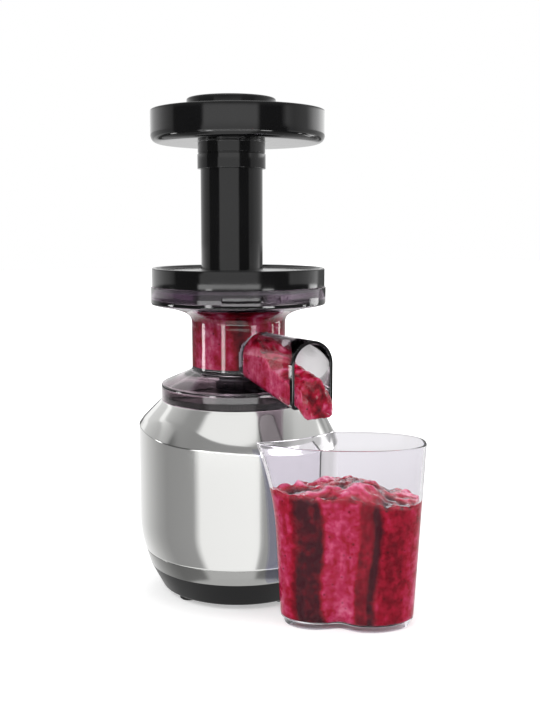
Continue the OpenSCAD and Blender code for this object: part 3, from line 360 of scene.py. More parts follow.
# name, base and second colour, roughness, metallic, pattern in mm, what differs, the nodes
INNER = [
    ("ground_steel", "C9CCD0", "A9ADB2", 0.22, 1, 0.7, RINGS,
     ["motor_shaft", "output_shaft", "gear_a_axle", "gear_b_axle", "auger_pin", "output_bearing",
      "switch_pivot", "drip_pin"]),
    ("zinc_plated_steel", "A4A8AC", "8B8F94", 0.36, 1, 1.5, {},
     ["base_screws", "seat_screws", "gearbox_screws", "motor_can"]),
    ("rolled_steel_sheet", "BFC3C7", "A3A7AB", 0.28, 1, 0.8, LINES, ["strainer_screen"]),
    ("sintered_iron", "77797C", "505256", 0.5, 1, 0.9, {}, ["output_gear"]),
    ("stacked_laminations", "8B8E92", "4C4E52", 0.45, 1, 0.8, {**RINGS, "depth": 0.3},
     ["rotor_core"]),
    ("cast_aluminium", "A9ADB1", "8C9094", 0.48, 1, 1.2, {"depth": 0.2},
     ["gearbox_base", "gearbox_cover"]),
    ("ferrite_magnet", "3C3C40", "2B2B2E", 0.7, 0, 1.0, {}, ["motor_magnets"]),
    ("enamelled_copper", "B4652A", "7E3E16", 0.3, 1, 0.6, {**RINGS, "depth": 0.3},
     ["rotor_windings", "commutator"]),
    ("sintered_bronze", "B08D57", "8A6A3A", 0.42, 1, 0.9, {}, ["motor_bushes"]),
    ("cut_brass", "D3B25E", "AE8C3C", 0.25, 1, 0.8, RINGS, ["motor_pinion"]),
    ("moulded_nylon", "E2D9BE", "CFC39E", 0.45, 0, 6.0, {}, ["gear_a", "gear_b"]),
    ("pressed_carbon", "2A2A2C", "1C1C1E", 0.6, 0, 0.8, {}, ["motor_brushes"]),
    ("grey_silicone", "6E7073", "5C5E61", 0.55, 0, 2.0, {},
     ["bowl_seal", "lid_seal", "pusher_seal"]),
    ("black_silicone", "2C2C2E", "1F1F21", 0.5, 0, 2.0, {}, ["shaft_seal", "drip_stop"]),
    ("black_rubber", "1B1B1B", "262626", 0.7, 0, 1.5, {"depth": 0.15}, ["foot_pads"]),
    ("green_solder_mask", "1F5D3A", "184A2E", 0.35, 0, 3.0, {}, ["circuit_board"]),
    ("blue_moulding", "24406E", "1B3155", 0.4, 0, 5.0, {}, ["interlock_switch"]),
    ("red_moulding", "C8372D", "A92A22", 0.4, 0, 5.0, {}, ["interlock_plunger"]),
    ("dark_moulding", "26272A", "1C1D1F", 0.42, 0, 5.0, {},
     ["board_parts", "motor_end_cap", "cooling_fan", "strainer_frame"]),
    ("glass_filled_plastic", "242426", "17171A", 0.38, 0, 2.5, {"depth": 0.1}, ["auger"]),
]
finishes = [(worked(*recipe, **more), nodes) for *recipe, more, nodes in INNER]
print(len(finishes), "inner finishes")

# %% [markdown]
# A CAD piece whose shape is right stays as it is and only gets its finish. The outer pieces
# get one too, though all but a few are replaced below by pieces with softer edges.

# %% Give every CAD piece its finish
finishes += [(gloss_black, ["lid", "food_tray", "pusher_stem", "pusher_cap", "switch_rocker"]),
             (satin_black, ["base_cover", "cord_gland", "switch_frame", "bowl_seat"]),
             (silver_paint, ["motor_housing"]), (grey_paint, ["trim_ring"]),
             (smoked_clear, ["juice_bowl"]), (clear_jug, ["jug"])]
for material, nodes in finishes:
    for name in nodes:
        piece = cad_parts[name]
        piece.data.materials.clear()
        piece.data.materials.append(material)
dressed = {name for _, nodes in finishes for name in nodes}
print("dressed", len(dressed), "of", len(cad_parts), "CAD pieces; bare:",
      sorted(set(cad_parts) - dressed))

# %% [markdown]
# ## Motor base
# The silver housing is a barrel that swells a little from the grey ring, and a leaning cone
# cuts its shoulder, so the crease round it stands higher on one side. A turned section
# can't lean, so the skin is drawn as rows of points: for each direction, the height of the
# crease is found first, and the rows are spread below, round and above it. That keeps the
# soft edge of the crease the same width all the way round. A bevel that leans less than the
# cone runs along the crease, from 5 mm high to 16 mm on one side, and shows as a darker
# strip.

# %% The outline of the housing in every direction
HOUSING_Z, SEAT_Z, PLATE_Z = 38.5, 166.5, 163
BODY_R, RING_TOP_R, SEAT_R, SWELL_H = 86, 82, 67, 26
SHOULDER_HIGH, SHOULDER_LOW, SHOULDER_DIR = 45, 28, 135
# the bevel starts this far below the crease, and further round one direction
BEVEL_DROP, BEVEL_MORE, BEVEL_DIR, BEVEL_WIDTH = 1.2, 3, 198, 24
BEVEL_SHARE = 0.74          # how much of the cone's lean the bevel has
SOFT_BEVEL, SOFT_CREASE = 0.5, 0.25
rise = 2 * SEAT_R / (math.tan(radians(SHOULDER_HIGH)) + math.tan(radians(SHOULDER_LOW)))
shift = rise * math.tan(radians(SHOULDER_HIGH)) - SEAT_R
half_cone = radians((SHOULDER_HIGH + SHOULDER_LOW) / 2)
tilt = radians((SHOULDER_HIGH - SHOULDER_LOW) / 2)
apex_z = SEAT_Z + rise


def away_from(angle, centre):
    """Angle between two directions in degrees, from -180 to 180."""
    return (angle - centre + 540) % 360 - 180


def swell(angle, centre, width):
    """A soft bump of height 1 round a direction."""
    return exp(-(away_from(angle, centre) / width) ** 2)


def cone_r(turn, z, inset=0.0):
    """Radius at which the leaning cone cuts a direction at a height."""
    down = inset / sin(half_cone)
    top_x = -shift + down * sin(tilt)
    below = apex_z - down * cos(tilt) - z
    lean = cos(turn - radians(SHOULDER_DIR))
    k2 = cos(half_cone) ** 2
    a1 = lean * sin(tilt)
    a0 = below * cos(tilt) - top_x * sin(tilt)
    a = a1 * a1 - k2
    b = a1 * a0 + k2 * lean * top_x
    c = a0 * a0 - k2 * (top_x ** 2 + below ** 2)
    return -(b + math.sqrt(b * b - a * c)) / a


def barrel_r(z):
    """Radius of the barrel without its shoulder."""
    t = min(1, (z - HOUSING_Z) / SWELL_H)
    return BODY_R - (BODY_R - RING_TOP_R) * (1 - t) ** 2


def softer(one, two, soft):
    """The lesser of two radii, blended over a soft width."""
    near = max(soft - abs(one - two), 0) / soft
    return min(one, two) - near * near * soft / 4


def bevel_drop(turn):
    """How far below the crease the bevel starts in a direction."""
    return BEVEL_DROP + BEVEL_MORE * swell(math.degrees(turn), BEVEL_DIR, BEVEL_WIDTH)


def housing_r(turn, z, crease):
    """The least of barrel, bevel and cone, with soft edges between them."""
    fall = BEVEL_SHARE * (cone_r(turn, crease) - cone_r(turn, crease + 1))
    bevel = BODY_R - (z - crease + bevel_drop(turn)) * fall
    return softer(softer(bevel, cone_r(turn, z), SOFT_BEVEL), barrel_r(z), SOFT_CREASE)


def crease_z(turn):
    """Height at which cone and barrel meet in one direction, found by halving."""
    low, high = HOUSING_Z, SEAT_Z
    for _ in range(40):
        middle = (low + high) / 2
        if cone_r(turn, middle) > BODY_R:
            low = middle
        else:
            high = middle
    return low


creases = [crease_z(radians(a)) for a in range(360)]
print("crease from", round(min(creases), 1), "to", round(max(creases), 1), "mm")

# %% [markdown]
# The rows end in a soft edge at the flat top, which runs in to the hole for the bowl's
# seat, and come back along the inside of the wall, so the shell is a real closed solid.
# Openings for the switch, the screws and the plunger are cut with boolean modifiers, as a
# milling cutter would, and the modifiers are applied.

# %% The silver housing
COLUMNS = 360
SEAT_BOSS_R, HOUSING_WALL, EDGE = 20, 2.6, 1.0


def housing_column(turn):
    """Points (r, z) of one column, up outside, over the top and down inside."""
    crease, drop = crease_z(turn), bevel_drop(turn)
    # rows lie close together round the edges, 1 mm to each side, and wide apart between them
    edge, bevel_top = crease - drop, crease + drop * BEVEL_SHARE / (1 - BEVEL_SHARE)
    foot, last = HOUSING_Z + 1.5, SEAT_Z - EDGE
    rows = [foot] + steps_to(edge - 1, 22, foot) + steps_to(edge + 1, 8, edge - 1)
    rows += steps_to(bevel_top - 1, 3, edge + 1) + steps_to(bevel_top + 1, 6, bevel_top - 1)
    rows += steps_to(last, 7, bevel_top + 1)
    top_r = cone_r(turn, SEAT_Z)
    inner_r = BODY_R - HOUSING_WALL
    return ([(RING_TOP_R - HOUSING_WALL / 2, HOUSING_Z), (RING_TOP_R - 0.5, HOUSING_Z),
             (RING_TOP_R - 0.15, HOUSING_Z + 0.12), (barrel_r(HOUSING_Z + 0.5), HOUSING_Z + 0.5)]
            + [(housing_r(turn, z, crease), z) for z in rows]
            + bent((housing_r(turn, last, crease), last), (top_r, SEAT_Z),
                   (top_r - 1.4 * EDGE, SEAT_Z), 5)[1:]
            + [(top_r - 3, SEAT_Z), (40, SEAT_Z), (SEAT_BOSS_R, SEAT_Z), (SEAT_BOSS_R, PLATE_Z),
               (cone_r(turn, PLATE_Z, HOUSING_WALL), PLATE_Z), (inner_r, crease - 2),
               (inner_r, HOUSING_Z + SWELL_H), (RING_TOP_R - HOUSING_WALL, HOUSING_Z)])


def skin_of_columns(name, columns, material):
    """A closed shell from columns of (r, z) points, one for each direction."""
    turns = [2 * pi * c / len(columns) for c in range(len(columns))]
    return lofted(name, [[(r * cos(t), r * sin(t), z) for (r, z), t in zip(ring, turns)]
                         for ring in zip(*columns)], material, capped=False)


def box_cutter(low, high):
    """A block to cut with, between two corners in millimetres."""
    (x0, y0, z0), (x1, y1, z1) = low, high
    points = [(x, y, z) for z in (z0, z1) for x, y in ((x0, y0), (x1, y0), (x1, y1), (x0, y1))]
    sides = [(k, (k + 1) % 4, (k + 1) % 4 + 4, k + 4) for k in range(4)]
    return mesh_piece("cutter", points, [(3, 2, 1, 0), (4, 5, 6, 7)] + sides, None, smooth=False)


def rod(start, end, radius, place=(0, 0), columns=48):
    """An upright solid cylinder, to cut with or to join."""
    return turned("rod", [(0.001, start), (radius, start), (radius, end), (0.001, end)], None,
                  place, columns)


def combine(piece, tools, operation="DIFFERENCE"):
    """Cuts tools from a piece, or joins them to it, and removes them."""
    for tool in tools:
        step = piece.modifiers.new(operation, "BOOLEAN")
        step.operation, step.object, step.solver = operation, tool, "EXACT"
        bpy.context.view_layer.update()
        done = bpy.data.meshes.new_from_object(
            piece.evaluated_get(bpy.context.evaluated_depsgraph_get()))
        piece.modifiers.clear()
        old, piece.data = piece.data, done
        bpy.data.meshes.remove(old)
        bpy.data.objects.remove(tool)
    return piece


housing = skin_of_columns("housing_skin",
                          [housing_column(2 * pi * c / COLUMNS) for c in range(COLUMNS)],
                          silver_paint)
# the switch's frame lies in a recess, and its body goes through a smaller hole
FRAME_W, FRAME_H, HOLE_W, HOLE_H, SWITCH_Z, RECESS_Y = 26, 36, 20, 30, 78.5, 84.8
INSIDE_Y, BEHIND_Y = 70, 92        # clear of the housing's wall on both sides
PLUNGER_AT, PLUNGER_HOLE_R = (45, 0), 2.8
SCREW_RING, SCREW_DIRS, SCREW_HOLE_R = 25, (30, 150, 270), 2.1
cutters = [box_cutter((-HOLE_W / 2, INSIDE_Y, SWITCH_Z - HOLE_H / 2),
                      (HOLE_W / 2, BEHIND_Y, SWITCH_Z + HOLE_H / 2)),
           box_cutter((-FRAME_W / 2, RECESS_Y, SWITCH_Z - FRAME_H / 2),
                      (FRAME_W / 2, BEHIND_Y, SWITCH_Z + FRAME_H / 2)),
           rod(PLATE_Z - 1, SEAT_Z + 1, PLUNGER_HOLE_R, PLUNGER_AT)]
for a in SCREW_DIRS:
    spot = (SCREW_RING * cos(radians(a)), SCREW_RING * sin(radians(a)))
    cutters.append(rod(PLATE_Z - 1, SEAT_Z + 1, SCREW_HOLE_R, spot))
crisp(combine(housing, cutters), 30)
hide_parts("motor_housing")
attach(housing, "base")
print("housing:", len(housing.data.polygons), "faces")

# %% [markdown]
# The grey trim ring is a plain turned part. Its two visible edges are rounded by 0.4 mm,
# because a real edge always catches a thin line of light.

# %% Trim ring
ring_section = rounded([(78, 25, 0.4), (82, 38.5, 0.4), (79.1, 38.5), (79.1, 41.5), (77.1, 41.5),
                        (77.1, 38.5), (73.5, 25)], 4)
ring = crisp(turned("trim_band", ring_section, grey_paint), 40)
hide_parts("trim_ring")
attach(ring, "base")
print("trim ring:", len(ring.data.polygons), "faces")

# %% [markdown]
# ## Lid, tray and pusher
# The lid is one moulding with its feed tube, and the tube stands off the lid's axis. A
# turned section can't do that either, but circles can: each row of points is a circle with
# its own centre, which slides from the tube's axis to the lid's axis along the flat of the
# dish. So one closed skin runs down the bore, up the tube, over the dish and round the rim
# with no seam and no cut.

# %% Rows of circles that change centre
TUBE_AXIS = (-14.496, -14.496)     # 20.5 mm off the lid's axis


def drifting(name, rows, material, columns=288):
    """A closed skin of circles (r, z, k); k is the centre's share of the tube's axis."""
    turns = [2 * pi * c / columns for c in range(columns)]
    return lofted(name, [[(TUBE_AXIS[0] * k + r * cos(t), TUBE_AXIS[1] * k + r * sin(t), z)
                          for t in turns] for r, z, k in rows], material, capped=False)


def on(k, section):
    """Rows from a section (r, z), all with the same centre."""
    return [(r, z, k) for r, z in section]


def slide(start, end, z, k0, k1):
    """Rows on a flat at one height, whose centre moves from one axis to the other."""
    return [(start + (end - start) * t, z, k0 + (k1 - k0) * t) for t in steps_to(1, 14)[:-1]]


def joined(piece, *others):
    """Joins other meshes to a piece, as loose shells of one object."""
    work = bmesh.new()
    work.from_mesh(piece.data)
    for other in others:
        work.from_mesh(other.data)
        bpy.data.objects.remove(other)
    work.to_mesh(piece.data)
    work.free()
    return piece


def ring_stretch(name, r_in, r_out, z0, z1, a0, a1, material, steps=12):
    """A stretch of ring between two angles in degrees."""
    corners = ((r_in, z0), (r_out, z0), (r_out, z1), (r_in, z1))
    turns = [radians(a) for a in [a0] + steps_to(a1, steps, a0)]
    return lofted(name, [[(r * cos(t), r * sin(t), z) for r, z in corners] for t in turns],
                  material, smooth=False)


# %% The lid
LID_R, LID_Z, LID_TOP, DISH_Z = 73.5, 263.1, 278.6, 276.6
TUBE_R, BORE_R, TUBE_TOP, PLUG_R, PLUG_Z = 25.5, 23, 381.6, 71.7, 251.8
# where the lid's bayonet lugs stand, their heights, their reach and half their width in degrees
LUG_DIRS, LUG_LOW, LUG_HIGH, LUG_OUT, LUG_HALF = (20, 140, 260), 253.8, 257.3, 1.8, 4.5
BOSS_BORE_R, BOSS_R, BOSS_Z, BOSS_TOP = 3.05, 6.4, 245.6, 256.6      # where the auger's pin runs
lid_rows = on(1, [(BORE_R, PLUG_Z), (BORE_R, 313), (BORE_R, TUBE_TOP - 2)]
              + round_corner((BORE_R, 373), (BORE_R, TUBE_TOP), (TUBE_R, TUBE_TOP), 0.8, 4)
              + round_corner((BORE_R, TUBE_TOP), (TUBE_R, TUBE_TOP), (TUBE_R, 373), 0.8, 4)
              + [(TUBE_R, 353), (TUBE_R, 323), (TUBE_R, 298)]
              + round_corner((TUBE_R, 298), (TUBE_R, DISH_Z), (60, DISH_Z), 2.5, 8))
lid_rows += slide(TUBE_R + 4, 66, DISH_Z, 1, 0)
lid_rows += on(0, round_corner((60, DISH_Z), (LID_R - 4.4, DISH_Z), (LID_R - 3, LID_TOP), 1.2)
               + round_corner((LID_R - 4.4, DISH_Z), (LID_R - 2.6, LID_TOP),
                              (LID_R, LID_TOP), 0.9, 5)
               + round_corner((LID_R - 2.6, LID_TOP), (LID_R, LID_TOP), (LID_R, LID_Z), 1.2, 7)
               + [(LID_R, 271)]
               + round_corner((LID_R, 271), (LID_R, LID_Z), (PLUG_R, LID_Z), 0.5, 4)
               + [(PLUG_R, LID_Z), (PLUG_R, 261.8), (70.5, 261.8), (70.5, 259.8), (PLUG_R, 259.8)]
               + round_corner((PLUG_R, 259), (PLUG_R, PLUG_Z), (60, PLUG_Z), 0.6, 4))
lid_rows += slide(PLUG_R - 4, BORE_R + 4, PLUG_Z, 0, 1)
lid = drifting("lid_skin", lid_rows, gloss_black)
lugs = [ring_stretch("lug", PLUG_R - 1, PLUG_R + LUG_OUT, LUG_LOW, LUG_HIGH, a - LUG_HALF,
                     a + LUG_HALF, gloss_black) for a in LUG_DIRS]
boss = turned("boss", [(BOSS_BORE_R, BOSS_Z), (BOSS_R, BOSS_Z), (BOSS_R, BOSS_TOP),
                       (BOSS_BORE_R, BOSS_TOP)], gloss_black, columns=64)
crisp(joined(lid, boss, *lugs), 40)
lid.data.materials.append(smoked_clear)            # the plug below the lid is clear
for face in lid.data.polygons:
    if face.center.z < (LID_Z - 0.1) * MM and face.center.xy.length > 30 * MM:
        face.material_index = 1
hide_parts("lid")
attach(lid, "lid")
print("lid:", len(lid.data.polygons), "faces")

# %% [markdown]
# The tray is a shallow bowl on a collar that slips over the tube, again two axes in one
# moulding. The groove that runs round the collar is where it snaps on.

# %% The food tray
TRAY_R, TRAY_Z, TRAY_FLOOR, TRAY_TOP = 73, 381.9, 384.5, 408.9
TRAY_EDGE, TRAY_WALL, COLLAR_R, COLLAR_BORE_R, COLLAR_Z = 9, 2.6, 28, 25.8, 359.9
TRAY_IN, CUFF_R, GROOVE_R = TRAY_R - TRAY_WALL, COLLAR_R - 0.35, COLLAR_R - 0.7
tray_rows = on(1, [(BORE_R, TRAY_Z)] + round_corner(
    (BORE_R, TRAY_Z), (BORE_R, TRAY_FLOOR), (30, TRAY_FLOOR), 0.8, 4))
tray_rows += slide(BORE_R + 3, TRAY_R - TRAY_EDGE - 3, TRAY_FLOOR, 1, 0)
tray_rows += on(0, round_corner((50, TRAY_FLOOR), (TRAY_IN, TRAY_FLOOR), (TRAY_IN, 403),
                                TRAY_EDGE - TRAY_WALL, 12)
                + round_corner((TRAY_IN, 398), (TRAY_IN, TRAY_TOP), (TRAY_R, TRAY_TOP), 1.0, 5)
                + round_corner((TRAY_IN - TRAY_WALL, TRAY_TOP), (TRAY_R, TRAY_TOP),
                               (TRAY_R, 398), 1.5, 8)
                + [(TRAY_R, 404), (TRAY_R, 397)]
                + round_corner((TRAY_R, 398), (TRAY_R, TRAY_Z), (50, TRAY_Z), TRAY_EDGE, 14))
tray_rows += slide(TRAY_R - TRAY_EDGE - 3, COLLAR_R + 3, TRAY_Z, 0, 1)
tray_rows += on(1, round_corner((40, TRAY_Z), (CUFF_R, TRAY_Z), (CUFF_R, 375), 1.2)
                + round_corner((CUFF_R, 377), (CUFF_R, 373.1), (GROOVE_R, 372.9), 0.3, 3)
                + [(GROOVE_R, 372.9), (GROOVE_R, 372.1)]
                + round_corner((GROOVE_R, 372.1), (COLLAR_R, 371.9), (COLLAR_R, 363), 0.35, 4)
                + round_corner((COLLAR_R, 368), (COLLAR_R, COLLAR_Z),
                               (COLLAR_BORE_R, COLLAR_Z), 0.7, 5)
                + [(COLLAR_BORE_R, COLLAR_Z), (COLLAR_BORE_R, TRAY_Z)])
tray = crisp(drifting("tray_skin", tray_rows, gloss_black), 40)
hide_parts("food_tray")
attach(tray, "tray")
print("tray:", len(tray.data.polygons), "faces")

# %% [markdown]
# The pusher's cap is a bell with a crown that rises 0.4 mm to the middle, so that it
# doesn't sink as it cools in the mould.

# %% The pusher's cap
CAP_R, CAP_Z, CAP_TOP, CAP_WALL = 36.5, 384.8, 416.8, 2.4
CAP_IN = CAP_R - CAP_WALL
cap_section = ([(CAP_IN, CAP_Z)]
               + round_corner((CAP_IN, CAP_Z), (CAP_R, CAP_Z), (CAP_R, 400), 0.4, 3)
               + [(CAP_R, 393), (CAP_R, 405)]
               + round_corner((CAP_R, 405), (CAP_R, CAP_TOP - 0.4), (20, CAP_TOP - 0.2), 2.2, 10)
               + [(22, CAP_TOP - 0.15), (10, CAP_TOP - 0.03), (0.01, CAP_TOP),
                  (0.01, CAP_TOP - CAP_WALL), (CAP_IN, CAP_TOP - CAP_WALL)])
cap = crisp(turned("cap_skin", cap_section, gloss_black, TUBE_AXIS), 40)
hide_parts("pusher_cap")
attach(cap, "pusher")
print("cap:", len(cap.data.polygons), "faces")

# %% [markdown]
# ## Jug
# The jug is a rounded box that widens upwards. Its back is hollowed along the same circle
# as the motor base, so that it stands close round it, and the corner where the hollow ends
# is drawn out into the pouring lip. A softer hollow in the front is for the hand. Its wall
# is drawn by one formula in every direction and at every height, and the skin runs over a
# rolled rim and down inside, so that light bends at two real surfaces.

# %% The jug's wall
JUG_AT, JUG_TURN, JUG_H, JUG_FLOOR, JUG_FOOT = (30, -119), -35, 146.5, 7.2, 5
# length and depth at the foot, and how much more they are at the rim
JUG_LONG, JUG_LONGER, JUG_DEEP, JUG_DEEPER = 106, 16, 64, 10
JUG_AWAY = math.hypot(*JUG_AT)
BASE_DIR = math.degrees(math.atan2(-JUG_AT[1], -JUG_AT[0])) - JUG_TURN
HOLLOW_R, HOLLOW_SOFT = BODY_R + 4.5, 2
# direction, reach and width in degrees of the lip and of the hollow for the hand
LIP_DIR, LIP, LIP_WIDTH, GRIP_DIR, GRIP, GRIP_WIDTH = 186, 12, 13, 252, 10, 32
BOXY = 2.4                         # 2 would be an ellipse, and more is squarer


def jug_wall(angle, z, inset):
    """Distance from the jug's middle to its wall, set in by a thickness."""
    share = z / JUG_H
    long = (JUG_LONG + JUG_LONGER * share) / 2 - inset
    deep = (JUG_DEEP + JUG_DEEPER * share) / 2 - inset
    a = radians(angle)
    wall = ((abs(cos(a)) / long) ** BOXY + (abs(sin(a)) / deep) ** BOXY) ** (-1 / BOXY)
    upper = max(0.0, (share - 0.5) / 0.5)
    wall += LIP * upper * upper * swell(angle, LIP_DIR, LIP_WIDTH)
    wall -= GRIP * (1 - share) * swell(angle, GRIP_DIR, GRIP_WIDTH)
    off = away_from(angle, BASE_DIR)
    side, r = JUG_AWAY * sin(radians(off)), HOLLOW_R + inset
    if abs(off) < 90 and abs(side) < r:
        back = JUG_AWAY * cos(radians(off)) - math.sqrt(r * r - side * side)
        wall = softer(wall, back, HOLLOW_SOFT)
    return wall


def jug_point(angle, inset, z):
    """A point of the jug, set in from its wall, in the frame of the whole juicer."""
    r, turn = jug_wall(angle, z, inset), radians(angle + JUG_TURN)
    return (JUG_AT[0] + r * cos(turn), JUG_AT[1] + r * sin(turn), z)


def close_angles(count, spots):
    """Directions round the jug, packed closer round some spots (angle, width)."""
    weights = [1 + sum(4 * swell(i / 4, spot, width) for spot, width in spots)
               for i in range(4 * 360)]
    total, sums = sum(weights), [0.0]
    for weight in weights:
        sums.append(sums[-1] + weight)
    out, at = [], 0
    for k in range(count):
        while sums[at + 1] < k * total / count:
            at += 1
        out.append((at + (k * total / count - sums[at]) / weights[at]) / 4)
    return out


JUG_WALL_T, RIM_R, FLOOR_R = 2.2, 1.1, 3
JUG_ANGLES = close_angles(288, [(LIP_DIR, 10), (111, 7)])
# rows (inset, height): up and down the foot ring, up outside, over the rim and down inside
jug_rows = [(5.6, JUG_FOOT), (5.6, 0.6), (5.2, 0), (3.2, 0), (2.6, 0.6), (2.6, JUG_FOOT - 0.4),
            (2.2, JUG_FOOT), (0.9, JUG_FOOT + 0.1), (0.25, JUG_FOOT + 0.7), (0, JUG_FOOT + 2)]
jug_rows += [(0, z) for z in steps_to(JUG_H - 1.4, 40, JUG_FOOT + 2)]
jug_rows += [(RIM_R * (1 - cos(t)), JUG_H - RIM_R * (1 - sin(t))) for t in [0] + steps_to(pi, 8)]
jug_rows += [(JUG_WALL_T, z) for z in [JUG_H - 2] + steps_to(JUG_FLOOR + FLOOR_R, 30, JUG_H - 2)]
jug_rows += [(JUG_WALL_T + FLOOR_R * (1 - cos(t)), JUG_FLOOR + FLOOR_R * (1 - sin(t)))
             for t in steps_to(pi / 2, 6)]
jug_rows += [(12, JUG_FLOOR), (20, JUG_FLOOR)]
jug_rings = [[jug_point(angle, inset, z) for angle in JUG_ANGLES] for inset, z in jug_rows]
jug = crisp(lofted("jug_skin", jug_rings, clear_jug), 50)
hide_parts("jug")
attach(jug, "jug")
print("jug:", len(jug.data.polygons), "faces")

# %% [markdown]
# ## Juice bowl
# The bowl is one clear moulding: a skirt that covers the seat, a cone, the juicing chamber,
# a flare and a wide flange, with the spout moulded on. The round body is turned. The spout
# is a tunnel with an arched roof and a falling floor, lofted from sections, and a boolean
# union merges it with the body. A real union matters in clear plastic, because any wall
# left inside would show as a seam.

# %% Levels and outline of the bowl
BOWL_Z, CONE_Z, NECK_Z, CHAMBER_Z = 166.8, 180.3, 191.8, 194.3
FLARE_Z, FLANGE_Z, RIM_Z = 229.8, 249.8, 262.8
SKIRT_R, NECK_R, FLANGE_R, BOWL_WALL, FLANGE_EDGE = 66.5, 40, 74.5, 2.5, 2
SKIRT_IN, NECK_IN, FLANGE_IN = SKIRT_R - BOWL_WALL, NECK_R - BOWL_WALL, FLANGE_R - BOWL_WALL
NECK_LEVELS = [203, 212, 221, FLARE_Z]


def flare(inset):
    """Points of the flare between chamber and flange, bottom to top."""
    height = FLANGE_Z - FLARE_Z - FLANGE_EDGE + inset
    return [(NECK_R - inset + (FLANGE_R - NECK_R) * t ** 3, FLARE_Z + height * t ** 0.84)
            for t in steps_to(1, 20)]


bowl_section = ([(SKIRT_IN, BOWL_Z)]
                + round_corner((SKIRT_IN, BOWL_Z), (SKIRT_R, BOWL_Z), (SKIRT_R, 172), 0.6, 4)
                + round_corner((SKIRT_R, 170), (SKIRT_R, CONE_Z), (NECK_R + 4, NECK_Z - 1.5), 3, 10)
                + [(55, 185.3)]
                + round_corner((55, 185.3), (NECK_R, NECK_Z), (NECK_R, 205), 3, 8)
                + [(NECK_R, z) for z in NECK_LEVELS] + flare(0)[:-1]
                + [(FLANGE_R - FLANGE_EDGE * (1 - sin(t)), FLANGE_Z - FLANGE_EDGE * cos(t))
                   for t in steps_to(pi / 2, 6)]
                + [(FLANGE_R, 256)]
                + round_corner((FLANGE_R, 256), (FLANGE_R, RIM_Z), (FLANGE_IN, RIM_Z), 0.7, 5)
                + round_corner((FLANGE_R, RIM_Z), (FLANGE_IN, RIM_Z), (FLANGE_IN, 255), 0.5, 4)
                + [(FLANGE_IN, 253)]
                + [(min(r, FLANGE_IN - 0.01), z) for r, z in reversed(flare(BOWL_WALL)[:-1])]
                + [(NECK_IN, z) for z in reversed(NECK_LEVELS)]
                + round_corner((NECK_IN, 203), (NECK_IN, CHAMBER_Z), (20, CHAMBER_Z), 2, 5)
                + [(9.6, CHAMBER_Z), (9.6, NECK_Z), (19, NECK_Z), (37.5, 190.8), (55, 181.9)]
                + round_corner((55, 181.9), (SKIRT_IN, 177.3), (SKIRT_IN, 170), 2, 5))
print("bowl outline:", len(bowl_section), "points")

# %% The spout's sections
SPOUT_HALF, SPOUT_ROOT, SPOUT_MOUTH, SPOUT_ROOF = 19, 35.5, 113, 226.8
SPOUT_FALL = math.tan(radians(12.7))
SPRING_Z = SPOUT_ROOF - SPOUT_HALF             # where the arch of the roof begins


def spout_floor(y, inset):
    """Height of the falling floor at a distance y in front of the axis."""
    return NECK_Z + inset - (y - SPOUT_ROOT) * SPOUT_FALL


def spout_loop(y, inset):
    """Section (x, z) of the tunnel: floor with round corners, sides, arched roof."""
    half, floor_z = SPOUT_HALF - inset, spout_floor(y, inset)
    r = max(0.4, 3 - inset / 2)
    right = [(half - r + r * sin(t), floor_z + r - r * cos(t)) for t in [0] + steps_to(pi / 2, 5)]
    right += [(half, z) for z in steps_to(SPRING_Z, 6, floor_z + r)[:-1]]
    roof = [(half * cos(t), SPRING_Z + half * sin(t)) for t in [0] + steps_to(pi, 32)]
    bottom = [(x, floor_z) for x in steps_to(half - r, 10, r - half)[:-1]]
    return right + roof + [(-x, z) for x, z in reversed(right)] + bottom


def tunnel(name, stations):
    """A solid of spout sections at stations (distance, inset)."""
    return lofted(name, [[(x, -y, z) for x, z in spout_loop(y, inset)] for y, inset in stations],
                  None)


print("spout section:", len(spout_loop(SPOUT_MOUTH, 0)), "points")

# %% [markdown]
# The bayonet needs slots in the flange: a window that each lug of the lid turns in, and a way down
# to it from the rim. They are cut out like the spout's inside. At the back is the small juice
# outlet, a plain tube that is joined to the chamber the same way. The end face of the spout's mouth
# is painted black, as painted shade for the dark edge that a clear wall shows there.

# %% Join and cut the bowl
OUTLET_Z, OUTLET_DIR, OUTLET_R, OUTLET_START, OUTLET_END = 201.8, 58, 9, 38, 97
EAR_SIDE = 4.95                    # how far the flap's two ears stand from the middle
PEG_FOOT, PEG_TOP, PEG_R = 173.6, 188.4, 3.5       # the peg that presses the plunger
RIB_HALF, RIB_H, RIB_START, RIB_END = 1.5, 8, 38.8, 62     # the rib under the spout
TWIST, LUG_FREE = 24, LUG_HALF + 2                 # the lid's turn, and room for a lug
bowl = turned("bowl_skin", bowl_section, smoked_clear, columns=256)
spout_solid = tunnel("spout", [(30, 0), (60, 0), (90, 0), (112, 0), (112.6, 0.12), (112.9, 0.35),
                               (SPOUT_MOUTH, 0.75)])
combine(spout_solid, [rod(150, 260, NECK_R - BOWL_WALL / 2)])


def outlet_tube(radius, start, end):
    """A lying cylinder along the juice outlet."""
    tube = rod(start, end, radius, columns=64)
    tube.data.transform(Matrix.Translation((0, 0, OUTLET_Z * MM))
                        @ Matrix.Rotation(radians(OUTLET_DIR), 4, "Z")
                        @ Matrix.Rotation(radians(90), 4, "Y"))
    return tube


def outlet_place(side, out, up):
    """A point at the juice outlet, in the frame of the whole juicer."""
    turn = radians(OUTLET_DIR - 90)
    return (side * cos(turn) - out * sin(turn), side * sin(turn) + out * cos(turn), OUTLET_Z + up)


def outlet_ear(side):
    """One of the two ears that hold the flap's pin."""
    outline = [(89, 7), (97, 7), (97, 10), (98.7, 9.8), (100.6, 10.4), (101.4, 12.2), (100.9, 14.4),
               (98.7, 15.4), (93, 14.4)]
    return lofted("ear", [[outlet_place(face, out, up) for out, up in outline]
                          for face in (side - 1.25, side + 1.25)], None)


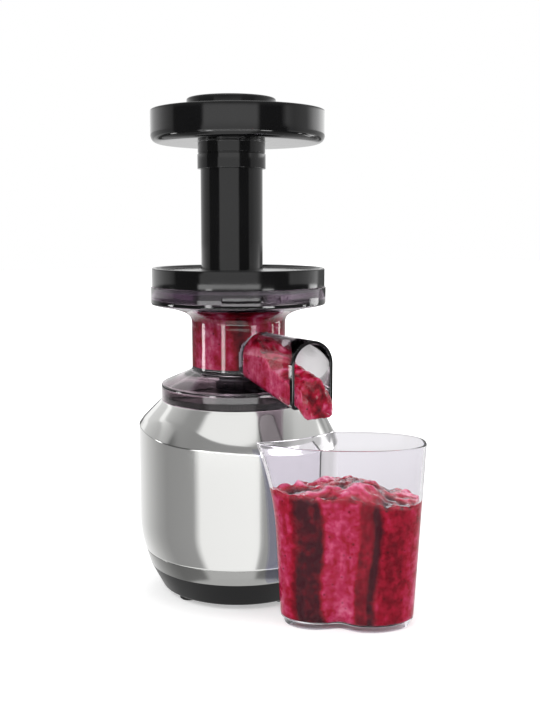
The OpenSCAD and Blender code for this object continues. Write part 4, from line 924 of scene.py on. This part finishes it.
rib_rings = [[(-RIB_HALF, -y, top - RIB_H), (RIB_HALF, -y, top - RIB_H), (RIB_HALF, -y, top),
              (-RIB_HALF, -y, top)]
             for y, top in ((y, spout_floor(y, 1)) for y in (RIB_START, RIB_END))]
combine(bowl, [spout_solid, outlet_tube(OUTLET_R, OUTLET_START, OUTLET_END),
               lofted("rib", rib_rings, None), rod(PEG_FOOT, PEG_TOP, PEG_R, PLUNGER_AT),
               outlet_ear(-EAR_SIDE), outlet_ear(EAR_SIDE)], "UNION")
slots = []
for a in LUG_DIRS:
    first, last = a - TWIST - LUG_FREE, a - TWIST + LUG_FREE
    slots.append(ring_stretch("slot", FLANGE_IN - 1, FLANGE_R + 2.5, LUG_LOW - 0.3,
                              LUG_HIGH + 0.3, first, a + LUG_FREE, None, 24))
    slots.append(ring_stretch("slot", FLANGE_IN - 1.3, FLANGE_R - 0.7, LUG_LOW - 0.2,
                              RIM_Z + 3.2, first + 0.1, last - 0.1, None, 12))
inside = tunnel("inside", [(30, BOWL_WALL), (60, BOWL_WALL), (90, BOWL_WALL), (111.8, BOWL_WALL),
                           (112.6, BOWL_WALL - 0.15), (113.2, BOWL_WALL - 0.7)])
combine(bowl, [inside, outlet_tube(OUTLET_R - 2, OUTLET_START - 5, OUTLET_END + 1)] + slots)
crisp(bowl, 35)
# black on the mouth's end face is painted shade for the dark edge of the clear wall
bowl.data.materials.append(gloss_black)
for face in bowl.data.polygons:
    if face.center.y < (0.6 - SPOUT_MOUTH) * MM:
        face.material_index = 1
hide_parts("juice_bowl")
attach(bowl, "bowl")
print("bowl:", len(bowl.data.polygons), "faces")

# %% [markdown]
# ## Berry puree
# The juicer has just pressed frozen berries. Puree isn't one colour: it is a dark red
# juice with paler pulp and bubbles in it, a few seeds, and a wet gloss. The recipe mixes
# those colours with noises of 18, 7 and 1 mm, and the finer two also raise the surface.
# Each piece can shift the mix with a value of its own, darker or paler in places; in the jug that
# shift is painted shade. Each piece also says where its surface is free and wet: against a wall
# there is no gloss.
# A polarising filter would keep the red out of the silver, so the puree is left out of
# mirror images.

# %% Puree material
puree, tree, shader, where = new_material("berry_puree", {
    "Subsurface Weight": 0.25, "Subsurface Radius": (2.5, 0.6, 0.6), "Subsurface Scale": MM,
    "Coat Roughness": 0.08, "IOR": 1.38, "Specular IOR Level": 0.1})
upright = add_node(tree, "ShaderNodeMapping", inputs={"Vector": where, "Scale": (1, 1, 0.25)})
smear = add_node(tree, "ShaderNodeTexNoise", inputs={
    "Vector": (upright, "Vector"), "Scale": per_mm(18), "Detail": 5.0, "Roughness": 0.6,
    "Distortion": 0.4})
pulp = add_node(tree, "ShaderNodeTexNoise", inputs={
    "Vector": where, "Scale": per_mm(7), "Detail": 5.0, "Roughness": 0.62})
grains = add_node(tree, "ShaderNodeTexNoise", inputs={
    "Vector": where, "Scale": per_mm(1.1), "Detail": 2.0})
shade = add_node(tree, "ShaderNodeAttribute", {"attribute_name": "shade"})
shifted = add_node(tree, "ShaderNodeMath", {"operation": "MULTIPLY_ADD"}, {
    0: (pulp, "Fac"), 1: 0.55, 2: (shade, "Fac")})
mixed = add_node(tree, "ShaderNodeMath", {"operation": "MULTIPLY_ADD"}, {
    0: (smear, "Fac"), 1: 0.45, 2: (shifted, "Value")})
flesh = add_node(tree, "ShaderNodeValToRGB", inputs={"Fac": (mixed, "Value")}, stops=[
    (0.16, "3A0A16"), (0.32, "740A1C"), (0.44, "A0142E"), (0.52, "B42850"), (0.6, "C84A70"),
    (0.74, "E08CA6")])
seeds = add_node(tree, "ShaderNodeTexVoronoi", {"feature": "F1"}, {
    "Vector": where, "Scale": per_mm(7), "Randomness": 1.0})
seed_mask = add_node(tree, "ShaderNodeValToRGB", inputs={"Fac": (seeds, "Distance")},
                     stops=[(0.09, grey(1)), (0.12, grey(0))])
add_node(tree, "ShaderNodeMix", {"data_type": "RGBA"}, {
    "Factor": (seed_mask, "Color"), "A": (flesh, "Color"), "B": linear("3A0A12")},
    to=("Result", shader, "Base Color"))
relief = add_node(tree, "ShaderNodeMath", {"operation": "MULTIPLY_ADD"}, {
    0: (grains, "Fac"), 1: 0.4, 2: (pulp, "Fac")})
patterned(tree, shader, (pulp, "Fac"), None, [(0.35, grey(0.16)), (0.65, grey(0.42))],
          (relief, "Value"), 0.35, 1.0)
add_node(tree, "ShaderNodeAttribute", {"attribute_name": "wetness"},
         to=("Fac", shader, "Coat Weight"))
clear = add_node(tree, "ShaderNodeBsdfTransparent")
path = add_node(tree, "ShaderNodeLightPath")
mirrored = add_node(tree, "ShaderNodeMath", {"operation": "GREATER_THAN"}, {
    0: (path, "Glossy Depth"), 1: 0.5})
add_node(tree, "ShaderNodeMixShader", inputs={
    0: (mirrored, "Value"), 1: (shader, "BSDF"), 2: (clear, "BSDF")},
    to=("Shader", tree.nodes["Material Output"], "Surface"))
print("puree material with", len(tree.nodes), "nodes")


def shade_piece(piece, rule, free):
    """Stores the shift of the mix and the wetness at each point, by two rules of (x, y, z)."""
    places = [v.co / MM for v in piece.data.vertices]
    for name, value in (("shade", rule), ("wetness", lambda *at: 0.7 if free(*at) else 0.0)):
        layer = piece.data.attributes.new(name, "FLOAT", "POINT")
        layer.data.foreach_set("value", [value(*at) for at in places])


# %% [markdown]
# In the jug the puree fills the walls' own shape to two thirds and heaps up in the middle.
# Puree wets the wall with no air between, and a renderer shows that only if the puree's skin lies a
# little inside the plastic: a gap would mirror the studio. So it starts 1 mm in from the outside.
# The heap is a height over the jug's plan, roughened with seeded noise. Painted shade darkens it:
# soft bands run down the wall where the jug's wall turns and folds, and the heap's hollows are
# darker.

# %% Puree in the jug
def lumps(x, y, z, size, height):
    """Smooth seeded unevenness of a size and height in millimetres."""
    return height * noise.fractal(Vector((x, y, z)) / size, 1.0, 2.0, 3)


def between(table, x):
    """The value at x on straight lines between the points of a table."""
    for (a, low), (b, high) in zip(table, table[1:]):
        if a <= x <= b:
            return low + (high - low) * (x - a) / (b - a)
    return table[0][1] if x < table[0][0] else table[-1][1]


def heap_height(x, y):
    """Height of the puree in the jug at a place of the table."""
    turn = radians(-JUG_TURN)
    dx, dy = x - JUG_AT[0], y - JUG_AT[1]
    along, across = dx * cos(turn) - dy * sin(turn), dx * sin(turn) + dy * cos(turn)
    mound = exp(-((along - 4) / 27) ** 2 - ((across + 2) / 28) ** 2)
    return (PUREE_Z - 0.08 * along + MOUND * mound
            + lumps(x, y, 3, 20, 4) + lumps(x, y, 9, 8, 1.8))


PUREE_Z, MOUND = 104, 12           # level of the puree at the wall, and its heap
EMBED = 1.2                        # the puree's skin lies this far inside the plastic
SKIN, UNDER = JUG_WALL_T - EMBED, JUG_FLOOR - EMBED
WALL_ROWS, HEAP_ROWS = 26, 40
DRY = 1.5                          # from this depth down the puree lies against the wall
# direction round the jug and the painted shade there, as a shift of the mix
SHADE_BANDS = [(0, 0), (180, 0), (186, -0.06), (196, 0), (206, -0.06), (214, -0.34), (231, -0.36),
         (237, 0.02), (262, 0.03), (281, 0), (285, -0.16), (297, -0.17), (300, -0.36),
         (304, -0.34), (309, -0.08), (322, -0.14), (336, -0.06), (346, -0.02), (360, 0)]


def jug_shade(x, y, z):
    """Painted shade in the jug, as a shift of the mix: bands at the wall, darker hollows on the
    heap.
    """
    turn = math.degrees(math.atan2(y - JUG_AT[1], x - JUG_AT[0])) - JUG_TURN
    if z < heap_height(x, y) - DRY:
        return between(SHADE_BANDS, (turn + 3 * sin(z / 17)) % 360)
    # painted shade on the heap: darker overall, and darker still where its lumps sink into hollows
    return -0.12 + lumps(x, y, 3, 20, 0.3) + lumps(x, y, 9, 8, 0.2)


edge_ring = [(a, heap_height(*jug_point(a, SKIN, 100)[:2])) for a in JUG_ANGLES]
puree_rings = [[jug_point(a, SKIN + FLOOR_R * (1 - sin(t)), UNDER + FLOOR_R * (1 - cos(t)))
                for a in JUG_ANGLES] for t in [0] + steps_to(pi / 2, 5)]
puree_rings += [[jug_point(a, SKIN, UNDER + FLOOR_R + (top - UNDER - FLOOR_R) * share)
                 for a, top in edge_ring] for share in steps_to(1, WALL_ROWS)]
wall_ring = puree_rings[-1]
for k in range(1, HEAP_ROWS):
    share, lift = 1 - k / HEAP_ROWS, 1.2 * (1 - min(1, k / 3))
    places = [(JUG_AT[0] + (x - JUG_AT[0]) * share, JUG_AT[1] + (y - JUG_AT[1]) * share)
              for x, y, _ in wall_ring]
    puree_rings.append([(x, y, heap_height(x, y) + lift) for x, y in places])
jug_puree = lofted("puree_in_jug", puree_rings, puree)
shade_piece(jug_puree, jug_shade, lambda x, y, z: z > heap_height(x, y) - DRY)
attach(jug_puree, "jug")
print("puree in the jug:", len(jug_puree.data.polygons), "faces")

# %% [markdown]
# In the spout the puree fills the tunnel to its roof near the chamber and slopes down to
# the mouth, higher on its left than on its right. Each section is the tunnel's own, cut
# off at the height of the free surface. Past the mouth the heap is its own round section:
# it sags over the lip, grows a little wider than the floor and ends as a blunt tongue.

# %% Puree in the spout
SPOUT_SKIN = BOWL_WALL + 0.25
PUREE_ROOT, PUREE_ROWS, TONGUE, TONGUE_ROWS = 38.6, 60, 11, 22
DEEPER, DEEPER_TO, CLEAR_FROM = 1.4, 103, 109
# distance from the axis and height of the free surface at the left wall, middle and right wall
LEFT_TOP = [(44, 226), (62, 215), (80, 203), (95, 198), (113, 192)]
MIDDLE_TOP = [(40, 226), (60, 213), (80, 208), (100, 203), (113, 199)]
RIGHT_TOP = [(38, 226), (60, 206), (80, 193), (100, 184), (113, 178)]


def spout_inset(y):
    """How far the puree lies inside the spout: in the plastic, but clear of its end."""
    share = (y - DEEPER_TO) / (CLEAR_FROM - DEEPER_TO)
    return SPOUT_SKIN - DEEPER * (1 - min(1, max(0, share)))


def spout_top(x, y):
    """Height of the free surface in the spout."""
    across = x / (SPOUT_HALF - SPOUT_SKIN)
    middle = between(MIDDLE_TOP, y)
    side = between(LEFT_TOP if across < 0 else RIGHT_TOP, y)
    return (middle + (side - middle) * abs(across) ** 1.7
            + lumps(x, y, 1, 9, 1.8) + lumps(x, y, 5, 3, 0.9))


def sagging(x, z, t):
    """A point of the mouth's section, carried over the lip by a share t of the tongue."""
    middle_z = spout_floor(SPOUT_MOUTH, 0) + 8
    narrow = math.sqrt(max(0.0, 1 - t ** 2.6))
    under = max(0.0, (middle_z - z) / 8)
    bulge = min(1, 2.5 * t)
    slim = 1 - 0.55 * bulge * min(1, under) ** 2
    sink = 8 * t ** 1.5 + 11 * under * bulge * narrow
    return (x * (0.1 + 0.9 * narrow) * (1 + 0.03 * sin(pi * t)) * slim,
            middle_z + (z - middle_z) * narrow - sink)


spout_rings = []
for y in [PUREE_ROOT] + steps_to(SPOUT_MOUTH, PUREE_ROWS, PUREE_ROOT):
    lowest = spout_floor(y, BOWL_WALL) + 1
    spout_rings.append([(x, -y, min(z, max(spout_top(x, y), lowest)))
                        for x, z in spout_loop(y, spout_inset(y))])
mouth_ring = spout_rings[-1]
for t in steps_to(1, TONGUE_ROWS):
    ring = []
    for x, _, z in mouth_ring:
        px, pz = sagging(x, z, t)
        py = -SPOUT_MOUTH - TONGUE * sin(pi / 2 * t)
        grain = lumps(px, py, pz, 8, 1.2) + lumps(px, py, pz, 3, 0.7)
        ring.append((px, py - grain * 0.5, pz + grain))
    spout_rings.append(ring)


def spout_shade(x, y, z):
    """Pale against the left wall, and darker and uneven elsewhere."""
    return 0.05 if x < -SPOUT_HALF + SPOUT_SKIN + 1 else -0.06 + lumps(x, y, z, 7, 0.25)


spout_puree = lofted("puree_in_spout", spout_rings, puree)
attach(spout_puree, "bowl")
shade_piece(spout_puree, spout_shade,
            lambda x, y, z: y < -SPOUT_MOUTH or z > spout_top(x, -y) - 2)
print("puree in the spout:", len(spout_puree.data.polygons), "faces")

# %% [markdown]
# In the chamber the auger presses juice and fine pulp through the strainer, so the wall of
# the chamber is smeared red all round, and so is the flare above it. One thin skin shows
# both. It wets the wall, so it lies inside the plastic, 1 mm in from the outside.

# %% Puree on the chamber's wall and in the flare
def smear_ring(name, rows, skip, columns=240):
    """A skin round the axis from rows (r, z), open where skip says so."""
    turns = [2 * pi * c / columns for c in range(columns)]
    points = [(r * cos(t), r * sin(t), z) for r, z in rows for t in turns]
    faces = [face for face in grid_faces(len(rows), columns)
             if not skip(face[0] % columns * 360 / columns,
                         (points[face[0]][2] + points[face[2]][2]) / 2)]
    used = sorted({k for face in faces for k in face})
    new = {k: i for i, k in enumerate(used)}
    return mesh_piece(name, [points[k] for k in used],
                      [tuple(new[k] for k in face) for face in faces], puree)


def at_openings(angle, z):
    """True where the spout or the juice outlet opens into the chamber."""
    front, back = away_from(angle, 270), away_from(angle, OUTLET_DIR)
    side, across = NECK_IN * sin(radians(front)), NECK_IN * sin(radians(back))
    arch = SPRING_Z + math.sqrt(max(0, SPOUT_HALF ** 2 - side ** 2))
    spout_open = abs(front) < 90 and abs(side) < SPOUT_HALF and z < arch
    return spout_open or (abs(back) < 90 and math.hypot(across, z - OUTLET_Z) < OUTLET_R)


def film_shade(x, y, z):
    """Paler than the mix, darker in a band round 241°, where the chamber faces the camera, and
    streaks that run down.
    """
    turn = math.degrees(math.atan2(y, x)) % 360
    return 0.05 - 0.26 * swell(turn, 241, 12) + lumps(x, y, z * 0.25, 12, 0.2)


film_foot = CHAMBER_Z + 1
film_rows = [(NECK_R - 1, z) for z in [film_foot] + steps_to(FLARE_Z, 24, film_foot)]
film_rows += [(r, z) for r, z in flare(1) if r < 60]
film = smear_ring("puree_on_wall", film_rows + [(52, 249), (34, 247), (34, 232)], at_openings)
shade_piece(film, film_shade, lambda x, y, z: False)
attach(film, "bowl")
print("puree film:", len(film.data.polygons), "faces")

# %% [markdown]
# ## Studio
# The juicer stands on a white floor that runs out of sight. The floor shows white because
# its own colour is white and rays from the camera add a little light to it, so that no
# lamp has to be turned up for it. That light grows with the distance from the juicer, so
# the floor runs into the white behind it. It keeps the soft shadow where the feet meet it.

# %% Floor
WHITE = (1, 1, 1, 1)
floor_material, tree, shader, where = new_material("studio_floor", {
    "Base Color": linear("F4F4F4"), "Roughness": 0.6, "Specular IOR Level": 0.1,
    "Emission Color": WHITE})
away = add_node(tree, "ShaderNodeVectorMath", {"operation": "LENGTH"}, {0: where})
further = add_node(tree, "ShaderNodeMapRange", {"interpolation_type": "SMOOTHSTEP"}, {
    "Value": (away, "Value"), "From Min": 0.25, "From Max": 1.1, "To Min": 0.42, "To Max": 1.0})
sight = add_node(tree, "ShaderNodeLightPath")
add_node(tree, "ShaderNodeMath", {"operation": "MULTIPLY"}, {
    0: (sight, "Is Camera Ray"), 1: (further, "Result")}, to=("Value", shader, "Emission Strength"))
FLOOR_HALF = 6000
floor = mesh_piece("studio_floor", [(x * FLOOR_HALF, y * FLOOR_HALF, 0)
                                    for x, y in ((-1, -1), (1, -1), (1, 1), (-1, 1))],
                   [(0, 1, 2, 3)], floor_material)
floor.visible_glossy = False
print("floor", 2 * FLOOR_HALF / 1000, "m wide")

# %% [markdown]
# The world is white where the camera, a mirror or clear plastic looks at it, and it lights
# the juicer with about half of that.

# %% World
WORLD_LIGHT = 0.55
world = bpy.data.worlds.new("studio")
bpy.context.scene.world = world
world.use_nodes = True
tree = world.node_tree
path = add_node(tree, "ShaderNodeLightPath")
seen = add_node(tree, "ShaderNodeMath", {"operation": "MAXIMUM"}, {
    0: (path, "Is Camera Ray"), 1: (path, "Is Transmission Ray")})
seen = add_node(tree, "ShaderNodeMath", {"operation": "MAXIMUM"}, {
    0: (seen, "Value"), 1: (path, "Is Glossy Ray")})
sky = tree.nodes["Background"]
sky.inputs["Color"].default_value = WHITE
add_node(tree, "ShaderNodeMapRange", inputs={
    "Value": (seen, "Value"), "To Min": WORLD_LIGHT, "To Max": 1.0}, to=("Result", sky, "Strength"))
print("world light", WORLD_LIGHT)

# %% [markdown]
# A silver shell shows nothing but what stands round it, so a studio builds a tent: one
# broad white panel beside the camera, black cards next to it that give the shell its dark
# edges, and pale panels at the sides and behind. Here the tent is one drum of panels that
# only mirrors can see. Its brightness follows the angle round the juicer from the camera,
# in tiers: the upright silver wall mirrors the lowest, the clear flange and the chamber
# those above it, then come the lid, the feed tube, the tray and the bevel of the shoulder,
# and the shoulder itself mirrors the top one. Clear plastic mirrors only a few hundredths
# of the light, so its panels are narrow and bright.

# %% A tent of panels and cards
CAMERA_AT = (-430.2, -739.3, 314.7)
camera_angle = math.degrees(math.atan2(CAMERA_AT[1], CAMERA_AT[0]))
# angle from the camera's side, positive to the camera's right, and the panel's brightness
LOW_TIER = [(-180, 0.9), (-152, 1.0), (-130, 0.8), (-116, 0.62), (-98, 0.42), (-84, 0.32),
            (-49, 0.36), (-41, 1.04), (20, 1.08), (23, 0.5), (27, 0.36), (60, 0.38), (80, 0.5),
            (110, 0.8), (150, 0.9), (180, 0.9)]
LID_TIER = [(-180, 1.0), (-150, 1.1), (-118, 1.0), (-96, 0.7), (-88, 0.45), (-84, 0.1), (-50, 0.1),
            (-46, 1.0), (-20, 1.0), (22, 0.98), (27, 0.12), (63, 0.1), (67, 0.9), (78, 0.8),
            (96, 0.9), (118, 1.5), (126, 0.4), (150, 0.1), (165, 0.6), (180, 1.0)]
TRAY_TIER = [(-180, 1.0), (-150, 1.3), (-118, 1.1), (-96, 0.6), (-88, 0.45), (-84, 0.1),
             (-44, 0.1), (-40, 1.35), (22, 1.35), (27, 0.12), (54, 0.1), (62, 0.9), (72, 0.6),
             (94, 0.7), (110, 2.0), (130, 2.4), (180, 1.0)]
TUBE_TIER = [(-180, 0.9), (-128, 0.72), (-104, 0.5), (-88, 0.4), (-84, 0.1), (-46, 0.1),
             (-42, 1.05), (22, 1.05), (27, 0.1), (60, 0.1), (66, 0.5), (74, 0.5), (90, 0.66),
             (130, 0.7), (180, 0.9)]
FLANGE_TIER = [(-180, 1), (-150, 1), (-125, 0.5), (-110, 0.1), (-52, 0.1), (-48, 4), (24, 4),
               (28, 0.1), (98, 0.1), (104, 5), (119, 5), (123, 0.4), (180, 1)]
# narrow strips that draw upright lines down the chamber, dark between them
NECK_TIER = [(-180, 0.5), (-152, 0.15), (-99, 0.12), (-97, 8), (-89, 8), (-87, 0.12), (-42, 0.15),
             (-39, 8), (-34, 8), (-31, 0.15), (28, 0.2), (31, 8), (42, 8), (45, 0.2), (86, 0.2),
             (88, 6), (91, 6), (93, 0.2), (111, 0.3), (113, 5), (118, 5), (120, 0.3), (150, 0.4),
             (180, 0.5)]
BEVEL_TIER = [(-180, 0.9), (-128, 0.72), (-104, 0.5), (-84, 0.34), (-60, 0.3), (60, 0.34),
              (74, 0.5), (90, 0.66), (130, 0.7), (180, 0.9)]
TOP_TIER = [(-180, 0.9), (-128, 0.72), (-102, 0.52), (-90, 0.34), (-64, 0.32), (-56, 1.02),
            (30, 1.04), (34, 0.42), (58, 0.44), (76, 0.64), (130, 0.7), (180, 0.9)]
# lowest and highest row of each tier; brightness blends from one tier to the next
TIERS = [(-600, 50, LOW_TIER), (56, 102, FLANGE_TIER), (108, 172, NECK_TIER),
         (178, 212, FLANGE_TIER), (216, 278, LID_TIER), (288, 420, TUBE_TIER),
         (430, 475, TRAY_TIER), (500, 700, BEVEL_TIER), (760, 1100, TOP_TIER)]
TENT_R, TENT_SIDES = 560, 360
tent_material = bpy.data.materials.new("tent_panels")
tent_material.use_nodes = True
tree = tent_material.node_tree
tree.nodes.remove(tree.nodes["Principled BSDF"])
brightness = add_node(tree, "ShaderNodeAttribute", {"attribute_name": "brightness"})
add_node(tree, "ShaderNodeEmission", inputs={"Strength": (brightness, "Fac")},
         to=("Emission", tree.nodes["Material Output"], "Surface"))
tent_rows = [(z, tier) for low, high, tier in TIERS for z in (low, high)]
turns = [-180 + side * 360 / TENT_SIDES for side in range(TENT_SIDES)]
tent_points = [(TENT_R * cos(radians(camera_angle + turn)),
                TENT_R * sin(radians(camera_angle + turn)), z)
               for z, _ in tent_rows for turn in turns]
tent = mesh_piece("studio_tent", tent_points, grid_faces(len(tent_rows), TENT_SIDES), tent_material)
values = tent.data.attributes.new("brightness", "FLOAT", "POINT")
values.data.foreach_set("value", [between(tier, turn) for _, tier in tent_rows for turn in turns])
tent.visible_camera = tent.visible_diffuse = tent.visible_transmission = False
tent.visible_shadow = tent.visible_volume_scatter = False
print("tent of", TENT_SIDES, "panels in", len(TIERS), "tiers,", 2 * TENT_R / 1000, "m across")

# %% [markdown]
# Three large soft lamps give the plain light that the plastics need: one high on the
# camera's left, one lower on its right and one behind. All are large, so shadows stay soft.

# %% Lamps
def lamp(name, angle, distance, height, size, watts):
    """A square soft lamp that faces the juicer, at an angle from the camera's side."""
    light = bpy.data.lights.new(name, "AREA")
    light.shape = "SQUARE"
    light.size = size * MM
    light.energy = watts
    holder = bpy.data.objects.new(name, light)
    here = radians(camera_angle + angle)
    holder.location = Vector((distance * cos(here), distance * sin(here), height)) * MM
    target = Vector((0, 0, 190)) * MM
    holder.rotation_euler = (target - holder.location).to_track_quat("-Z", "Y").to_euler()
    holder.visible_glossy = False
    bpy.context.scene.collection.objects.link(holder)
    return holder


lamps = [lamp("key_lamp", -38, 1500, 1500, 1100, 16),
         lamp("fill_lamp", 60, 1700, 900, 1100, 8),
         lamp("back_lamp", 170, 1500, 1300, 900, 7)]
print([(holder.name, round(holder.data.energy, 1)) for holder in lamps])

# %% [markdown]
# The camera stands low beside the spout, 0.86 m from the juicer, with a lens like that of
# a small studio camera: 50 mm on a 36 mm high picture. It looks a little down, so that
# the tops of the lid and tray just show.

# %% Camera
HEADING, PITCH = 32, 7.7           # degrees to the right of straight back, and downwards
camera_data = bpy.data.cameras.new("studio_camera")
camera_data.sensor_width = 36
camera_data.lens = 50
camera = bpy.data.objects.new("studio_camera", camera_data)
bpy.context.scene.collection.objects.link(camera)
look = Vector((sin(radians(HEADING)) * cos(radians(PITCH)),
               cos(radians(HEADING)) * cos(radians(PITCH)), -sin(radians(PITCH))))
camera.location = Vector(CAMERA_AT) * MM
camera.rotation_euler = look.to_track_quat("-Z", "Y").to_euler()
bpy.context.scene.camera = camera
bpy.context.scene.view_settings.view_transform = "Standard"
print("camera", round(math.hypot(*CAMERA_AT[:2])), "mm from the axis")
